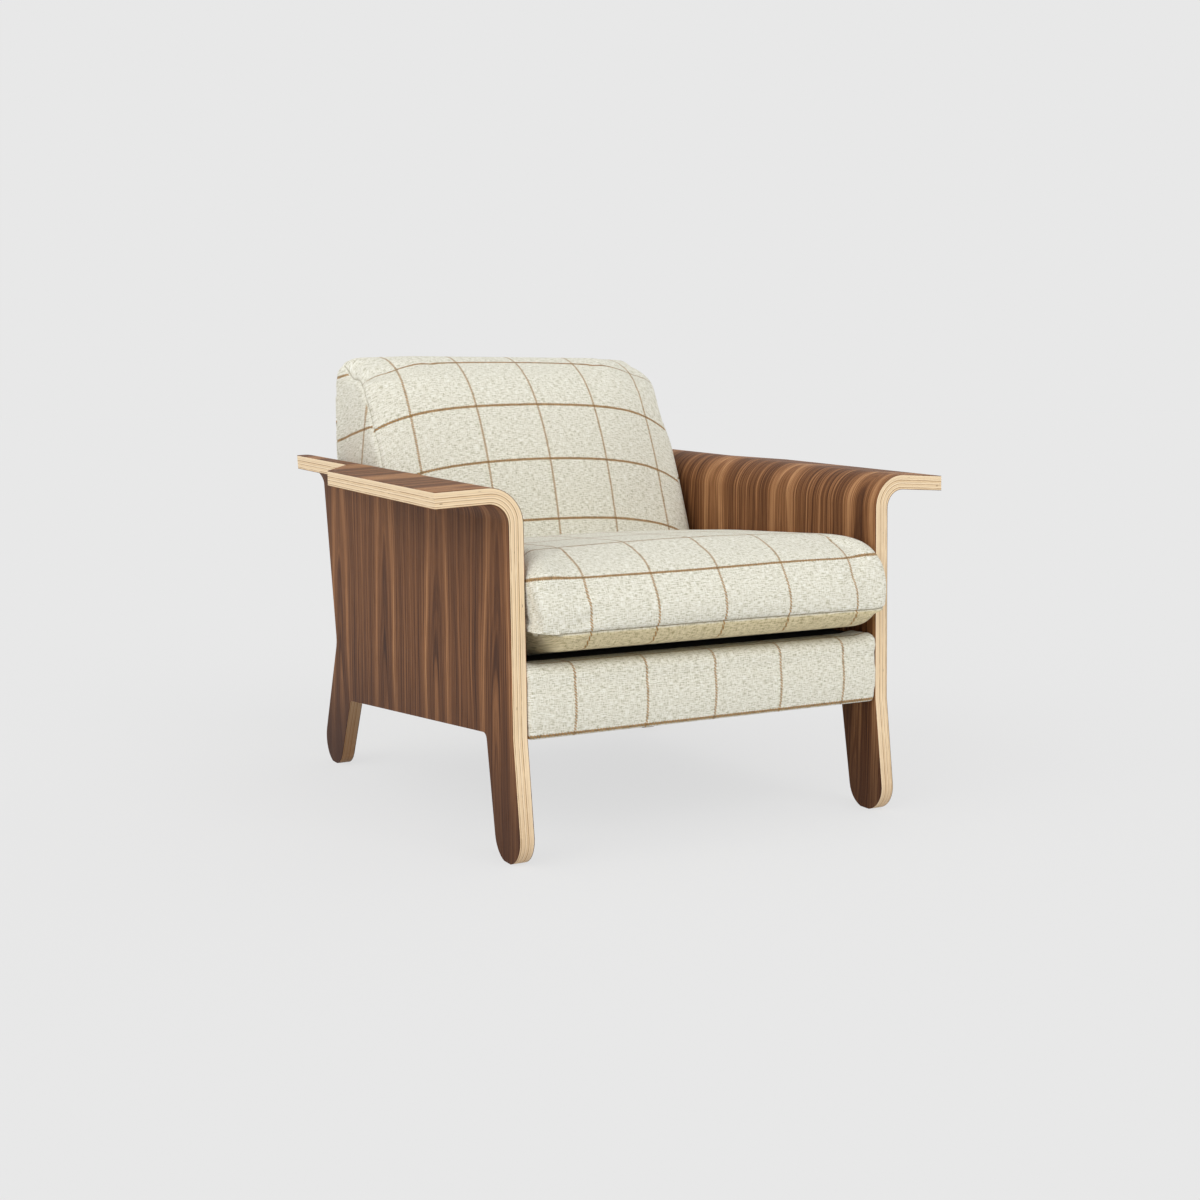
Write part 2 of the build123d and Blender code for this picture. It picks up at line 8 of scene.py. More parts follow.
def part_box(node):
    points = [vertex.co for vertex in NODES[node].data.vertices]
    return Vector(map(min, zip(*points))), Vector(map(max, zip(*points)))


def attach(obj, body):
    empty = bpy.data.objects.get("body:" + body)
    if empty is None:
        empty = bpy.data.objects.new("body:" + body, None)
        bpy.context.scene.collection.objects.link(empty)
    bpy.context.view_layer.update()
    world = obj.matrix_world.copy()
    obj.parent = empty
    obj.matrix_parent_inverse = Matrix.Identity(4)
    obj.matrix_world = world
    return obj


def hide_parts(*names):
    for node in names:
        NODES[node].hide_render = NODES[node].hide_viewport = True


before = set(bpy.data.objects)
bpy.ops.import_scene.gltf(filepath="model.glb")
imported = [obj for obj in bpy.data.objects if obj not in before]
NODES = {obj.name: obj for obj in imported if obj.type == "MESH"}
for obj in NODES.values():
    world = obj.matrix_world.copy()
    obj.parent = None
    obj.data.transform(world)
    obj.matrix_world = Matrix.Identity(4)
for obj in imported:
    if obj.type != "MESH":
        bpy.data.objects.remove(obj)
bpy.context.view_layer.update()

bl_info = {
    "name": "Bent plywood lounge chair",
    "version": (1, 0, 0),
    "blender": (4, 5, 0),
    "location": "View3D > Sidebar > Chair",
    "description": "Upholstery, finishes and stage for a lounge chair with bent plywood sides",
    "category": "Object",
}

CHAIR = "chair"
CUSHION = "seat_cushion"
SLIDER = "zip_slider"
CLOTH_UV = "cloth"
SEAM = "seam"
UNDER_SHADE = "under"
NO_SEAM = 1.0
MM = 0.001
TINY = 1e-9
BEVEL_ANGLE = math.radians(50)
SMOOTH_ANGLE = math.radians(40)
SWELL_FRAMES = 20
SWELL_QUALITY = 5
DUST_NODE_THICKNESS = 0.001
FLOOR_SIZE = 80
FLOOR_Z = -0.0005
CLIP_END = 200
# Sockets of a Mix node that mixes colours
MIX_SHARE, MIX_FIRST, MIX_SECOND, MIX_RESULT = 0, 6, 7, 2

cushion_low, cushion_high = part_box("cushion_cover")
back_low, back_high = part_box("back_front_panel")
border_low, border_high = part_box("front_border_cover")
panel_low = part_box("right_panel_core")[0]
veneer_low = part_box("right_inner_veneer")[0]
rear_low, rear_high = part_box("outside_back")
deck_low, deck_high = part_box("deck_cover")
dust_low, dust_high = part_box("dust_cover")
tape_low, tape_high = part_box("zip_tape")


def length(name, description, default):
    return bpy.props.FloatProperty(
        name=name, description=description, default=default, unit="LENGTH", precision=4)


def number(name, description, default):
    return bpy.props.FloatProperty(name=name, description=description, default=default, precision=4)


def angle(name, description, degrees):
    return bpy.props.FloatProperty(
        name=name, description=description, default=math.radians(degrees),
        subtype="ANGLE", unit="ROTATION")


def display_to_linear(value):
    value /= 255
    return value / 12.92 if value <= 0.04045 else ((value + 0.055) / 1.055) ** 2.4


def colour(name, description, red, green, blue):
    """Colour property whose default is given as display values from 0 to 255."""
    default = tuple(display_to_linear(value) for value in (red, green, blue))
    return bpy.props.FloatVectorProperty(
        name=name, description=description, default=default, subtype="COLOR", size=3, min=0, max=1)


class ChairFabric(bpy.types.PropertyGroup):
    """Windowpane check cloth."""
    ground: colour("Ground", "Off-white wool", 230, 227, 212)
    pale: colour("Pale thread", "Lightest slubs", 245, 244, 234)
    fleck: colour("Fleck", "Grey-green darker slubs", 182, 178, 154)
    line: colour("Check line", "Golden brown yarn of the check", 178, 137, 78)
    line_dark: colour("Dark check yarn", "Darker yarn twisted into the check", 98, 70, 38)
    seam_thread_and_shade: colour("Sewing thread", "Shadow and thread of the seams", 126, 112, 80)
    # Painted shade: this colour darkens and yellows the cushion's front below its lower seam.
    under: colour("Under tint", "Tint of the cushion's front below its lower seam", 234, 222, 193)
    pitch: length("Check pitch", "Distance between check lines", 0.127)
    line_width: length("Line width", "Width of a check line", 0.0044)
    twist: length("Yarn twist", "Length of one twist of the check yarn", 0.0052)
    thread: length("Thread pitch", "Distance between woven threads", 0.0019)
    roughness: number("Roughness", "Roughness of the wool", 0.92)


class ChairWood(bpy.types.PropertyGroup):
    """Walnut veneer and the pale plywood behind it."""
    dark: colour("Walnut dark", "Late wood", 60, 32, 18)
    middle: colour("Walnut middle", "Body of the veneer", 109, 69, 40)
    light: colour("Walnut light", "Pale heart of each leaf", 148, 101, 64)
    bright: colour("Walnut bright", "Tan streaks beside the heart", 188, 140, 97)
    leaf: length("Leaf width", "Width of one leaf of the slip-matched veneer", 0.230)
    leaf_middle: length("Leaf middle", "Middle of one leaf, from the middle of the chair", -0.122)
    slip: length("Leaf slip", "How far each leaf slips along the grain against the last", 0.03)
    heart: length("Heart width", "Half width of the pale heart of a leaf", 0.042)
    # Painted light: inside faces get a lighter walnut copy, whose stronger figure partly paints the
    # bend's highlight.
    inside_painted_light: number("Inside lift", "How much lighter the faces inside the panels are", 0.033)
    inside_contrast: number("Inside contrast", "Contrast of the figure inside the panels", 1.95)
    outside_lift: number("Outside lift", "How much lighter the outside faces are", -0.007)
    outside_contrast: number("Outside contrast", "Contrast of the figure on the outside faces", 1.5)
    # Painted shade: the veneer is darkened towards the floor, and more on the rear legs under the seat.
    painted_foot_shade: number("Foot tone", "How much darker the veneer is shaded at the feet", 0.9)
    ply_pale: colour("Ply pale", "Long-grain plies", 246, 223, 188)
    ply_tan: colour("Ply tan", "Cross plies", 234, 206, 164)
    fibre: colour("Ply fibre", "Brown fibres at the cut edge", 172, 124, 72)
    # The glue colour is also used for painted shade at the feet of the ply edges.
    glue_and_shade: colour("Glue line", "Dark line between plies", 138, 88, 42)
    plies: bpy.props.IntProperty(name="Plies", description="Plies in the core", default=8, min=3)


class ChairSoft(bpy.types.PropertyGroup):
    """How the padded pieces are filled and sewn."""
    voxel: length("Mesh size", "Size of the faces that a pad is made of", 0.006)
    pressure: number("Pressure", "Push of the filling against the cover", 2.5)
    give: length("Give", "Furthest that a cover swells", 0.012)
    cover: length("Cover", "Cloth and clearance outside the foam", 0.002)
    bulge: length("Front bulge", "Fullness of the cushion's front", 0.013)
    lift: length("Front lift", "How far the foot of the cushion's front lifts off the deck", 0.02)
    chin: length("Chin", "How far the cushion's foot stands forward below its lower seam", 0.026)
    end_lift: length("End lift", "How much more the foot lifts at the cushion's left end", 0.03)
    corner_lift: length("Corner lift", "How much more the foot lifts at the front corners", 0.022)
    settle: length("Settle", "How far the top starts below its finished height", 0.012)
    corner_fall: length("Corner fall", "How far the top corners of the back fall away", 0.018)
    seam_depth: length("Seam depth", "How far a seam pulls in", 0.0028)
    seam_reach: length("Seam reach", "Width over which a seam pulls in", 0.006)
    under_seam_z: length("Lower seam", "Height of the seam low on the cushion's front", 0.356)
    rear_corner: length("Rear corner", "Round of the outside back's top corners", 0.014)
    rear_knee: length("Rear knee", "Height at which the rear of the back turns upright", 0.6)
    rear_swell: length("Rear swell", "Fullness of the outside back", 0.003)
    dust_sag: length("Dust cloth sag", "How far the dust cloth sags between the rails", 0.003)
    staple_pitch: length("Staple pitch", "Distance between staples of the dust cloth", 0.06)
    first_line_z: length("First check line", "Height of the check line on the cushion's front", 0.441)
    nose_radius: length("Nose radius", "Round of the cushion's front edge", 0.045)


class ChairStage(bpy.types.PropertyGroup):
    """Floor, lights and camera."""
    backdrop: colour("Backdrop", "Floor and background", 232, 232, 232)
    shadow: number("Shadow", "Share of the floor's own light and shadow that shows", 0.17)
    bounce: number("Bounce", "Share of its light that the floor gives back to the object", 1.0)
    sky: number("Sky strength", "Even light from all round", 0.6)
    key: number("Key strength", "Large soft lamp from the front", 0.95)
    side: number("Side strength", "Large soft lamp from the left", 1.05)
    camera_place: bpy.props.FloatVectorProperty(
        name="Camera place", description="Eye point", default=(-1.3927, -2.5585, 0.7175),
        subtype="TRANSLATION")
    camera_yaw: angle("Camera yaw", "Turn from straight ahead", -28.87)
    camera_pitch: angle("Camera pitch", "Tilt below the horizon", 7.4)
    lens: bpy.props.FloatProperty(name="Lens", description="Focal length", default=48.63, unit="CAMERA")


def settings(group):
    return getattr(bpy.context.scene, group)


# Shader nodes

def wire_method(operation, swapped=False):
    """Arithmetic of a wire, which adds a Math node."""
    def method(wire, other):
        first, second = (other, wire) if swapped else (wire, other)
        return wire.shader.math(operation, first, second)
    return method


class Wire:
    """Output of a shader node, with arithmetic that adds Math nodes."""
    __add__ = wire_method("ADD")
    __radd__ = wire_method("ADD", swapped=True)
    __sub__ = wire_method("SUBTRACT")
    __rsub__ = wire_method("SUBTRACT", swapped=True)
    __mul__ = wire_method("MULTIPLY")
    __truediv__ = wire_method("DIVIDE")

    def __init__(self, shader, socket):
        self.shader = shader
        self.socket = socket


class Shader:
    """Node tree of one material or world."""

    def __init__(self, owner):
        owner.use_nodes = True
        self.owner = owner
        self.tree = owner.node_tree
        self.tree.nodes.clear()

    @classmethod
    def of_material(cls, name):
        return cls(bpy.data.materials.new(name))

    def node(self, kind, inputs=None, output=0, **setup):
        """Adds a node with these settings; inputs holds the values or wires of its sockets."""
        made = self.tree.nodes.new("ShaderNode" + kind)
        for key, value in setup.items():
            if key == "stops":
                self.set_stops(made.color_ramp, value)
            else:
                setattr(made, key, value)
        for key, value in (inputs or {}).items():
            if isinstance(value, Wire):
                self.tree.links.new(value.socket, made.inputs[key])
            else:
                made.inputs[key].default_value = value
        return Wire(self, made.outputs[output]) if made.outputs else None

    @staticmethod
    def set_stops(ramp, stops):
        while len(ramp.elements) < len(stops):
            ramp.elements.new(1)
        for element, (place, value) in zip(ramp.elements, stops):
            element.position = place
            element.color = (*value, 1)

    def math(self, operation, first, second=0.0):
        return self.node("Math", {0: first, 1: second}, operation=operation)

    def step(self, value, low, high):
        """Smooth step from 0 at low to 1 at high."""
        return self.node(
            "MapRange", {"Value": value, "From Min": low, "From Max": high},
            interpolation_type="SMOOTHSTEP")

    def mix(self, share, first, second, blend="MIX"):
        """First colour at share 0; the second, or the two blended, at share 1."""
        first, second = (c if isinstance(c, Wire) else (*c, 1) for c in (first, second))
        return self.node(
            "Mix", {MIX_SHARE: share, MIX_FIRST: first, MIX_SECOND: second}, MIX_RESULT,
            data_type="RGBA", blend_type=blend)

    def vector(self, x, y, z=0.0):
        return self.node("CombineXYZ", {0: x, 1: y, 2: z})

    def noise(self, x, y, z=0.0, detail=2.0, roughness=0.5):
        """Smooth noise from 0 to 1, with about one wave for each unit of x, y and z."""
        return self.node("TexNoise", {
            "Vector": self.vector(x, y, z), "Scale": 1.0, "Detail": detail, "Roughness": roughness})

    def split(self, place, count):
        return [self.node("SeparateXYZ", {0: place}, axis) for axis in range(count)]

    def axes(self):
        """X, Y and Z of the object's own frame."""
        return self.split(self.node("TexCoord", output="Object"), 3)

    def cloth_axes(self):
        """Across and along the cloth, in metres."""
        return self.split(self.node("UVMap", uv_map=CLOTH_UV), 2)

    def attribute(self, name):
        return self.node("Attribute", output="Fac", attribute_name=name)

    def surface(self, inputs, height=None, distance=0.001, strength=1.0):
        """Principled surface, with a bump where height is given."""
        if height is not None:
            bump = self.node("Bump", {"Height": height, "Distance": distance, "Strength": strength})
            inputs = {**inputs, "Normal": bump}
        shown = self.node("BsdfPrincipled", inputs)
        self.node("OutputMaterial", {"Surface": shown})
        return self.owner

    def seen_by_eye(self):
        """1 for rays from the camera, a mirror or glass, and 0 for light that falls on the object."""
        kinds = ("Camera", "Glossy", "Transmission")
        camera, mirror, glass = (self.node("LightPath", output=f"Is {kind} Ray") for kind in kinds)
        return self.math("MAXIMUM", camera, self.math("MAXIMUM", mirror, glass))


# Finishes: a factor on an axis gives waves per metre, and a factor on a noise its weight

def check_cloth(name):
    """Slubby off-white wool with a brown windowpane check, laid along the cloth's own axes."""
    look = settings("chair_fabric")
    shader = Shader.of_material(name)
    across, along = shader.cloth_axes()
    slub_run, slub_rows, fuzz_rows, wander_run = 100, 620, 1100, 60
    wander = shader.noise(across * wander_run, along * wander_run, detail=1.0) - 0.5
    crossing_slubs = shader.noise(across * slub_run, along * slub_rows, roughness=0.6)
    standing_slubs = shader.noise(across * slub_rows, along * slub_run, 7.0, roughness=0.6)
    fuzz = shader.noise(across * fuzz_rows, along * fuzz_rows, 3.0, detail=1.0)
    tone = crossing_slubs * 0.53 + standing_slubs * 0.32 + fuzz * 0.15
    ground = shader.mix(shader.step(tone, 0.51, 0.59), look.ground, look.pale)
    ground = shader.mix(shader.step(tone, 0.5, 0.395), ground, look.fleck)

    def line(place, run, width, twisting):
        """Share of check yarn at a place across a line, and its twist along the line from -1 to 1."""
        wander_size, twist_size = 0.9 * MM, 0.1 * width
        moved = place / look.pitch + 0.5 + wander * (wander_size / look.pitch)
        off = (shader.math("FRACT", moved) - 0.5) * look.pitch
        twist = shader.math("SINE", run * (math.tau / look.twist) + off * (0.8 * math.tau / width))
        half = width / 2
        edge = shader.math("ABSOLUTE", off) - twist * twist_size
        inside = shader.step(edge, half * 1.12, half * 0.8)
        return inside * (1 - twisting + twist * twisting), twist

    standing, standing_twist = line(across, along, look.line_width * 0.95, 0.34)
    crossing, crossing_twist = line(along, across, look.line_width * 1.2, 0.1)
    check = shader.math("MAXIMUM", standing, crossing)
    twists = standing * standing_twist * 0.3 + crossing * crossing_twist * 0.2
    worn = crossing_slubs + standing_slubs + twists
    yarn = shader.mix(shader.step(worn, 0.78, 1.2), look.line_dark, look.line)
    base = shader.mix(check, ground, yarn)
    base = shader.mix(standing * crossing * 0.6, base, look.line_dark)
    seam = shader.attribute(SEAM)
    below_seam, thread_edge, thread_middle = -0.004, 0.0016, 0.0005
    # Painted shade: below the cushion's lower seam the cloth is multiplied by a darker, yellower colour.
    below = shader.step(seam, 0.0, below_seam) * shader.attribute(UNDER_SHADE)
    base = shader.mix(below, base, look.under, "MULTIPLY")
    # The seam line is partly thread and partly painted shadow of the seam's groove.
    sewn = shader.step(shader.math("ABSOLUTE", seam), thread_edge, thread_middle)
    base = shader.mix(sewn * 0.7, base, look.seam_thread_and_shade)
    turn = math.tau / look.thread
    weave = shader.math("SINE", across * turn) * shader.math("SINE", along * turn)
    height = tone * 1.4 + weave * 0.14 + check * 0.3 - sewn
    return shader.surface(
        {"Base Color": base, "Roughness": look.roughness, "Sheen Weight": 0.08, "Sheen Roughness": 0.5,
         "Specular IOR Level": 0.15}, height, distance=0.0016, strength=0.55)


def walnut(name, lift, contrast):
    """Slip-matched walnut leaves: straight dark lines round a pale heart with tall, narrow arches."""
    look = settings("chair_wood")
    shader = Shader.of_material(name)
    x, y, z = shader.axes()
    side = shader.math("SIGN", x)
    place = (y - look.leaf_middle) / look.leaf + 0.5
    index = shader.math("FLOOR", place)
    share = place - index - 0.5
    side_slip, ring_rise, ring_depth, middle_tone, foot_top = 0.035, 0.045, 0.008, 0.45, 0.3
    run = z + shader.math("ABSOLUTE", x) + index * look.slip + side * side_slip
    across = share * look.leaf
    drift = shader.noise(across * 9 + index * 0.3, run * 2.8, side) - 0.5
    off = across + drift * 0.04
    away = shader.math("ABSOLUTE", off)
    wave = shader.noise(run * 5.0, index * 1.3 + side * 3, 2.0, detail=1.0) - 0.5
    cut = (run - veneer_low.x) * ring_rise + wave * 0.02 + ring_depth
    rings = shader.math("SQRT", off * off + cut * cut)
    broad = shader.noise(rings * 75, run * 0.8, 3.0, detail=1.0)
    lines = shader.noise(rings * 240, run * 1.1, 5.0, roughness=0.6)
    streak = shader.noise(y * 600 + drift * 5, run * 2.6, 9.0, detail=3.0, roughness=0.62)
    pores = shader.noise(y * 900, run * 18, roughness=0.6)
    narrowing = (away + (broad - 0.5) * 0.016 + (run - 0.66) * 0.06) / look.heart
    heart = shader.step(narrowing, 1.2, 0.7)
    rim = shader.step(narrowing, 0.72, 0.95) * shader.step(narrowing, 1.3, 1.05)
    joint = shader.step(shader.math("ABSOLUTE", share), 0.482, 0.496)
    tone = lines * 0.28 + streak * 0.4 + broad * 0.2 - 0.01
    tone = tone + heart * 0.025 + rim * (broad * 0.1 + 0.005) + joint * 0.05
    # Lift and contrast shift the tone; on the inside faces they are painted light.
    tone = (tone - middle_tone) * contrast + (middle_tone + lift)
    base = shader.node("ValToRGB", {0: tone}, stops=[
        (0.31, look.dark), (0.44, look.middle), (0.57, look.light), (0.7, look.bright)])
    dots = shader.step(pores, 0.45, 0.33)
    base = shader.mix(dots * 0.35, base, look.dark)
    # Painted shade: darker towards the floor, and darker still on the rear legs under the seat.
    foot = shader.step(z, foot_top, 0.0) * (0.75 + shader.step(y, 0.0, 0.25) * 0.25) * look.painted_foot_shade
    base = shader.mix(foot, base, look.dark)
    rough = 0.5 + dots * 0.12 + streak * 0.1
    return shader.surface(
        {"Base Color": base, "Roughness": rough, "Specular IOR Level": 0.14},
        streak * 0.4 - dots, distance=0.0002, strength=0.4)


def ply_depth(shader, x, y, z):
    """Share of the plywood's thickness from its outer face to a place, also round the bend."""
    thickness, inner_radius, arm_top_z, arm_front_y = 0.025, 0.031, 0.574, -0.405
    rise, droop = math.radians(1.4), math.radians(2.9)
    centre_x = veneer_low.x + thickness + inner_radius
    centre_z = arm_top_z - thickness - inner_radius
    side = shader.math("ABSOLUTE", x)
    level = z - (y - arm_front_y) * math.tan(rise)
    inward = shader.math("MAXIMUM", centre_x - side, 0.0)
    upward = (level - centre_z) * math.cos(droop) + (side - centre_x) * math.sin(droop)
    upward = shader.math("MAXIMUM", upward, 0.0)
    reach = shader.math("SQRT", inward * inward + upward * upward)
    return (inner_radius + thickness - reach) / thickness


def ply_edge(name):
    """Pale plies and brown glue lines that follow the bend, with a few open voids."""
    look = settings("chair_wood")
    shader = Shader.of_material(name)
    x, y, z = shader.axes()
    depth = ply_depth(shader, x, y, z)
    along = y + z + shader.math("ABSOLUTE", x)
    ripple = shader.noise(along * 12, depth * 3) - 0.5
    layer = depth * look.plies + ripple * 0.3
    nearest = shader.math("ROUND", layer)
    off = shader.math("ABSOLUTE", layer - nearest)
    chance = shader.node("TexWhiteNoise", {"W": nearest + 3.0}, noise_dimensions="1D")
    strong = shader.step(chance, 0.4, 0.75)
    broken = shader.noise(along * 22, nearest * 7.3, roughness=0.6)
    width = 0.05 + strong * 0.11
    line = shader.step(off, width + 0.06, width - 0.03) * (0.1 + strong * 0.7)
    line = line * shader.step(broken, 0.25, 0.55)
    index = shader.math("FLOOR", layer)
    tint = shader.node("TexWhiteNoise", {"W": index}, noise_dimensions="1D")
    fibre = shader.noise(along * 30, depth * 110, tint * 5, detail=3.0, roughness=0.65)
    cross = shader.math("PINGPONG", index, 1.0)
    base = shader.mix(cross * 0.6 + (tint - 0.5) * 0.5, look.ply_pale, look.ply_tan)
    base = shader.mix(shader.step(fibre, 0.54, 0.74) * 0.4, base, look.fibre)
    base = shader.mix(line, base, look.glue_and_shade)
    pits = shader.noise(along * 62, layer * 1.7, 5.0, detail=0.0)
    hole = shader.step(pits, 0.8, 0.84) * cross
    base = shader.mix(hole * 0.9, base, look.dark)
    # Painted shade: ply edges darken towards the glue colour near the floor, much more on the rear legs.
    painted_rear_leg_shade = shader.step(z, 0.3, 0.1) * shader.step(y, 0.0, 0.2)
    base = shader.mix(shader.step(z, 0.17, 0.02) * 0.2 + painted_rear_leg_shade * 0.6, base, look.glue_and_shade)
    return shader.surface(
        {"Base Color": base, "Roughness": 0.5 + fibre * 0.15, "Specular IOR Level": 0.25},
        fibre * 0.4 - line * 0.4 - hole, distance=0.0005, strength=0.6)


def plain_timber(name):
    """Planed beech of the hidden frame."""
    shader = Shader.of_material(name)
    x, y, z = shader.axes()
    grain = shader.noise(x * 6, y * 90, z * 90, detail=4.0, roughness=0.6)
    base = shader.node("ValToRGB", {0: grain}, stops=[
        (0.35, (0.36, 0.22, 0.11)), (0.65, (0.55, 0.37, 0.21))])
    return shader.surface({"Base Color": base, "Roughness": 0.6 + grain * 0.15}, grain, distance=0.0003)


def foam_block(name):
    """Cut foam with open cells."""
    shader = Shader.of_material(name)
    x, y, z = shader.axes()
    cells = shader.node("TexVoronoi", {"Vector": shader.vector(x, y, z), "Scale": 420.0})
    base = shader.mix(cells, (0.78, 0.7, 0.5), (0.6, 0.51, 0.32))
    return shader.surface({"Base Color": base, "Roughness": 0.95}, cells)


def ribbed_cloth(name, pale, dark, rib):
    """Plain woven tape, webbing or lining with fine ribs."""
    shader = Shader.of_material(name)
    x, y, z = shader.axes()
    turn = math.tau / rib
    ribs = shader.math("SINE", x * turn) * 0.5 + shader.math("SINE", (y + z) * turn) * 0.5
    fuzz = shader.noise(x * 300, y * 300, z * 300)
    base = shader.mix(ribs * 0.25 + fuzz * 0.75, dark, pale)
    return shader.surface({"Base Color": base, "Roughness": 0.9}, ribs + fuzz, distance=0.0005)


def plated_steel(name):
    """Zinc plated fixings."""
    shader = Shader.of_material(name)
    x, y, z = shader.axes()
    haze = shader.noise(x * 180, y * 180, z * 180, detail=3.0)
    base = shader.mix(haze, (0.5, 0.5, 0.5), (0.66, 0.66, 0.64))
    return shader.surface({"Base Color": base, "Metallic": 1.0, "Roughness": 0.25 + haze * 0.25})


def studio_floor(name, look, level):
    """Pale matt floor that shows part of the object's shadow; level is the light that falls on it."""
    shader = Shader.of_material(name)
    x, y, z = shader.axes()
    eye = shader.seen_by_eye()
    paint = tuple(value / level for value in look.backdrop)
    dim = tuple(value * look.bounce for value in look.backdrop)
    grain = shader.noise(x * 3, y * 3, z)
    base = shader.mix(grain * 0.02, shader.mix(eye, dim, paint), (1, 1, 1))
    matt = shader.node(
        "BsdfPrincipled", {"Base Color": base, "Roughness": 1.0, "Specular IOR Level": 0.0})
    even = shader.node("Emission", {"Color": (*look.backdrop, 1)})
    both = shader.node("MixShader", {0: eye * (1 - look.shadow), 1: matt, 2: even})
    shader.node("OutputMaterial", {"Surface": both})
    return shader.owner


def studio_sky(name, look):
    """Even light from all round, with the backdrop's colour where it is seen."""
    shader = Shader(bpy.data.worlds.new(name))
    light = shader.node("Background", {"Color": (1, 1, 1, 1), "Strength": look.sky})
    seen = shader.node("Background", {"Color": (*look.backdrop, 1)})
    both = shader.node("MixShader", {0: shader.seen_by_eye(), 1: light, 2: seen})
    shader.node("OutputWorld", {"Surface": both})
    return shader.owner


def cloth_finish():
    """The one check cloth that every cover shares."""
    return bpy.data.materials.get("check_cloth") or check_cloth("check_cloth")


def steel_finish():
    """The one plated steel that every fixing shares."""
    return bpy.data.materials.get("plated_steel") or plated_steel("plated_steel")


# Modelling helpers

def deselect():
    if bpy.context.object and bpy.context.object.mode != "OBJECT":
        bpy.ops.object.mode_set(mode="OBJECT")
    bpy.ops.object.select_all(action="DESELECT")


def pick(*things):
    """Selects only these objects and makes the first one active."""
    deselect()
    for thing in things:
        thing.select_set(True)
    bpy.context.view_layer.objects.active = things[0]


def add_object(name, data):
    thing = bpy.data.objects.new(name, data)
    bpy.context.scene.collection.objects.link(thing)
    return thing


def scale_new(size):
    """Brings the object that was just added to this size."""
    thing = bpy.context.object
    thing.scale = size
    bpy.ops.object.transform_apply(location=True, rotation=True, scale=True)
    return thing


def block(size, place=(0, 0, 0)):
    """Box of this size with its middle at place."""
    deselect()
    bpy.ops.mesh.primitive_cube_add(size=1, location=place)
    return scale_new(size)


def grid(name, size, cuts, place=(0, 0, 0)):
    """Level grid of this size with its middle at place."""
    deselect()
    bpy.ops.mesh.primitive_grid_add(
        x_subdivisions=cuts[0], y_subdivisions=cuts[1], size=1, location=place)
    thing = scale_new((*size, 1))
    thing.name = name
    return thing


def edit_mesh(thing, *steps):
    """Runs mesh operators on all of a piece; each step is an operator and its settings."""
    pick(thing)
    bpy.ops.object.mode_set(mode="EDIT")
    bpy.ops.mesh.select_all(action="SELECT")
    for operator, values in steps:
        operator(**values)
    bpy.ops.object.mode_set(mode="OBJECT")


def apply(thing, kind, **values):
    """Adds a modifier with these settings and applies it."""
    pick(thing)
    modifier = thing.modifiers.new(kind.title(), kind)
    for key, value in values.items():
        setattr(modifier, key, value)
    bpy.ops.object.modifier_apply(modifier=modifier.name)


def refine(thing):
    apply(thing, "SUBSURF", levels=1, render_levels=1)


def thicken(thing, thickness):
    apply(thing, "SOLIDIFY", thickness=thickness, offset=0.0)


def bevel(thing, width, segments):
    apply(thing, "BEVEL", width=width, segments=segments, limit_method="ANGLE", angle_limit=BEVEL_ANGLE)


def smooth(thing):
    """Shades a piece smooth, apart from its sharp edges."""
    pick(thing)
    bpy.ops.object.shade_smooth_by_angle(angle=SMOOTH_ANGLE)


def read(items, key):
    """Three values in a row for each point or face of a mesh."""
    found = np.empty(len(items) * 3, np.float32)
    items.foreach_get(key, found)
    return found.reshape(-1, 3).astype(float)


def read_whole(items, key):
    """One whole number for each face or corner of a mesh."""
    found = np.empty(len(items), np.int32)
    items.foreach_get(key, found)
    return found


def points_of(thing):
    return read(thing.data.vertices, "co")


def normals_of(thing):
    return read(thing.data.vertices, "normal")


def move_points(thing, points):
    thing.data.vertices.foreach_set("co", points.astype(np.float32).ravel())
    thing.data.update()


def finish_piece(thing, material, body, slot, *nodes):
    """Gives a piece its finish and its place in the chair."""
    thing.data.materials.clear()
    thing.data.materials.append(material)
    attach(thing, body)
    if nodes:
        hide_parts(*nodes)


def dress_nodes(material, *names):
    for name in names:
        NODES[name].data.materials.clear()
        NODES[name].data.materials.append(material)


def pad_from(node, name, voxel):
    """Closed even mesh of a foam block, ready to swell."""
    thing = add_object(name, NODES[node].data.copy())
    edit_mesh(thing, (bpy.ops.mesh.remove_doubles, {"threshold": 0.02 * MM}))
    apply(thing, "REMESH", mode="VOXEL", voxel_size=voxel, adaptivity=0.0, use_smooth_shade=True)
    apply(thing, "SMOOTH", factor=0.5, iterations=3)
    move_points(thing, points_of(thing) + normals_of(thing) * settings("chair_soft").cover)
    return thing


def swell(thing, held):
    """Lets a cover swell between the points that are held."""
    soft = settings("chair_soft")
    rest = points_of(thing)
    pick(thing)
    group = thing.vertex_groups.new(name="held")
    group.add(np.flatnonzero(held).tolist(), 1.0, "REPLACE")
    cloth = thing.modifiers.new("Swell", "CLOTH")
    cloth.settings.use_pressure = True
    cloth.settings.uniform_pressure_force = soft.pressure
    cloth.settings.effector_weights.gravity = 0.0
    cloth.settings.vertex_group_mass = group.name
    cloth.settings.quality = SWELL_QUALITY
    cloth.collision_settings.use_collision = False
    cloth.point_cache.frame_end = SWELL_FRAMES
    for number_of_frame in range(1, SWELL_FRAMES + 1):
        bpy.context.scene.frame_set(number_of_frame)
    bpy.ops.object.modifier_apply(modifier=cloth.name)
    bpy.context.scene.frame_set(1)
    thing.vertex_groups.clear()
    shift = points_of(thing) - rest
    far = np.linalg.norm(shift, axis=1)
    keep = soft.give * np.tanh(far / soft.give) / np.maximum(far, TINY)
    move_points(thing, rest + shift * keep[:, None])


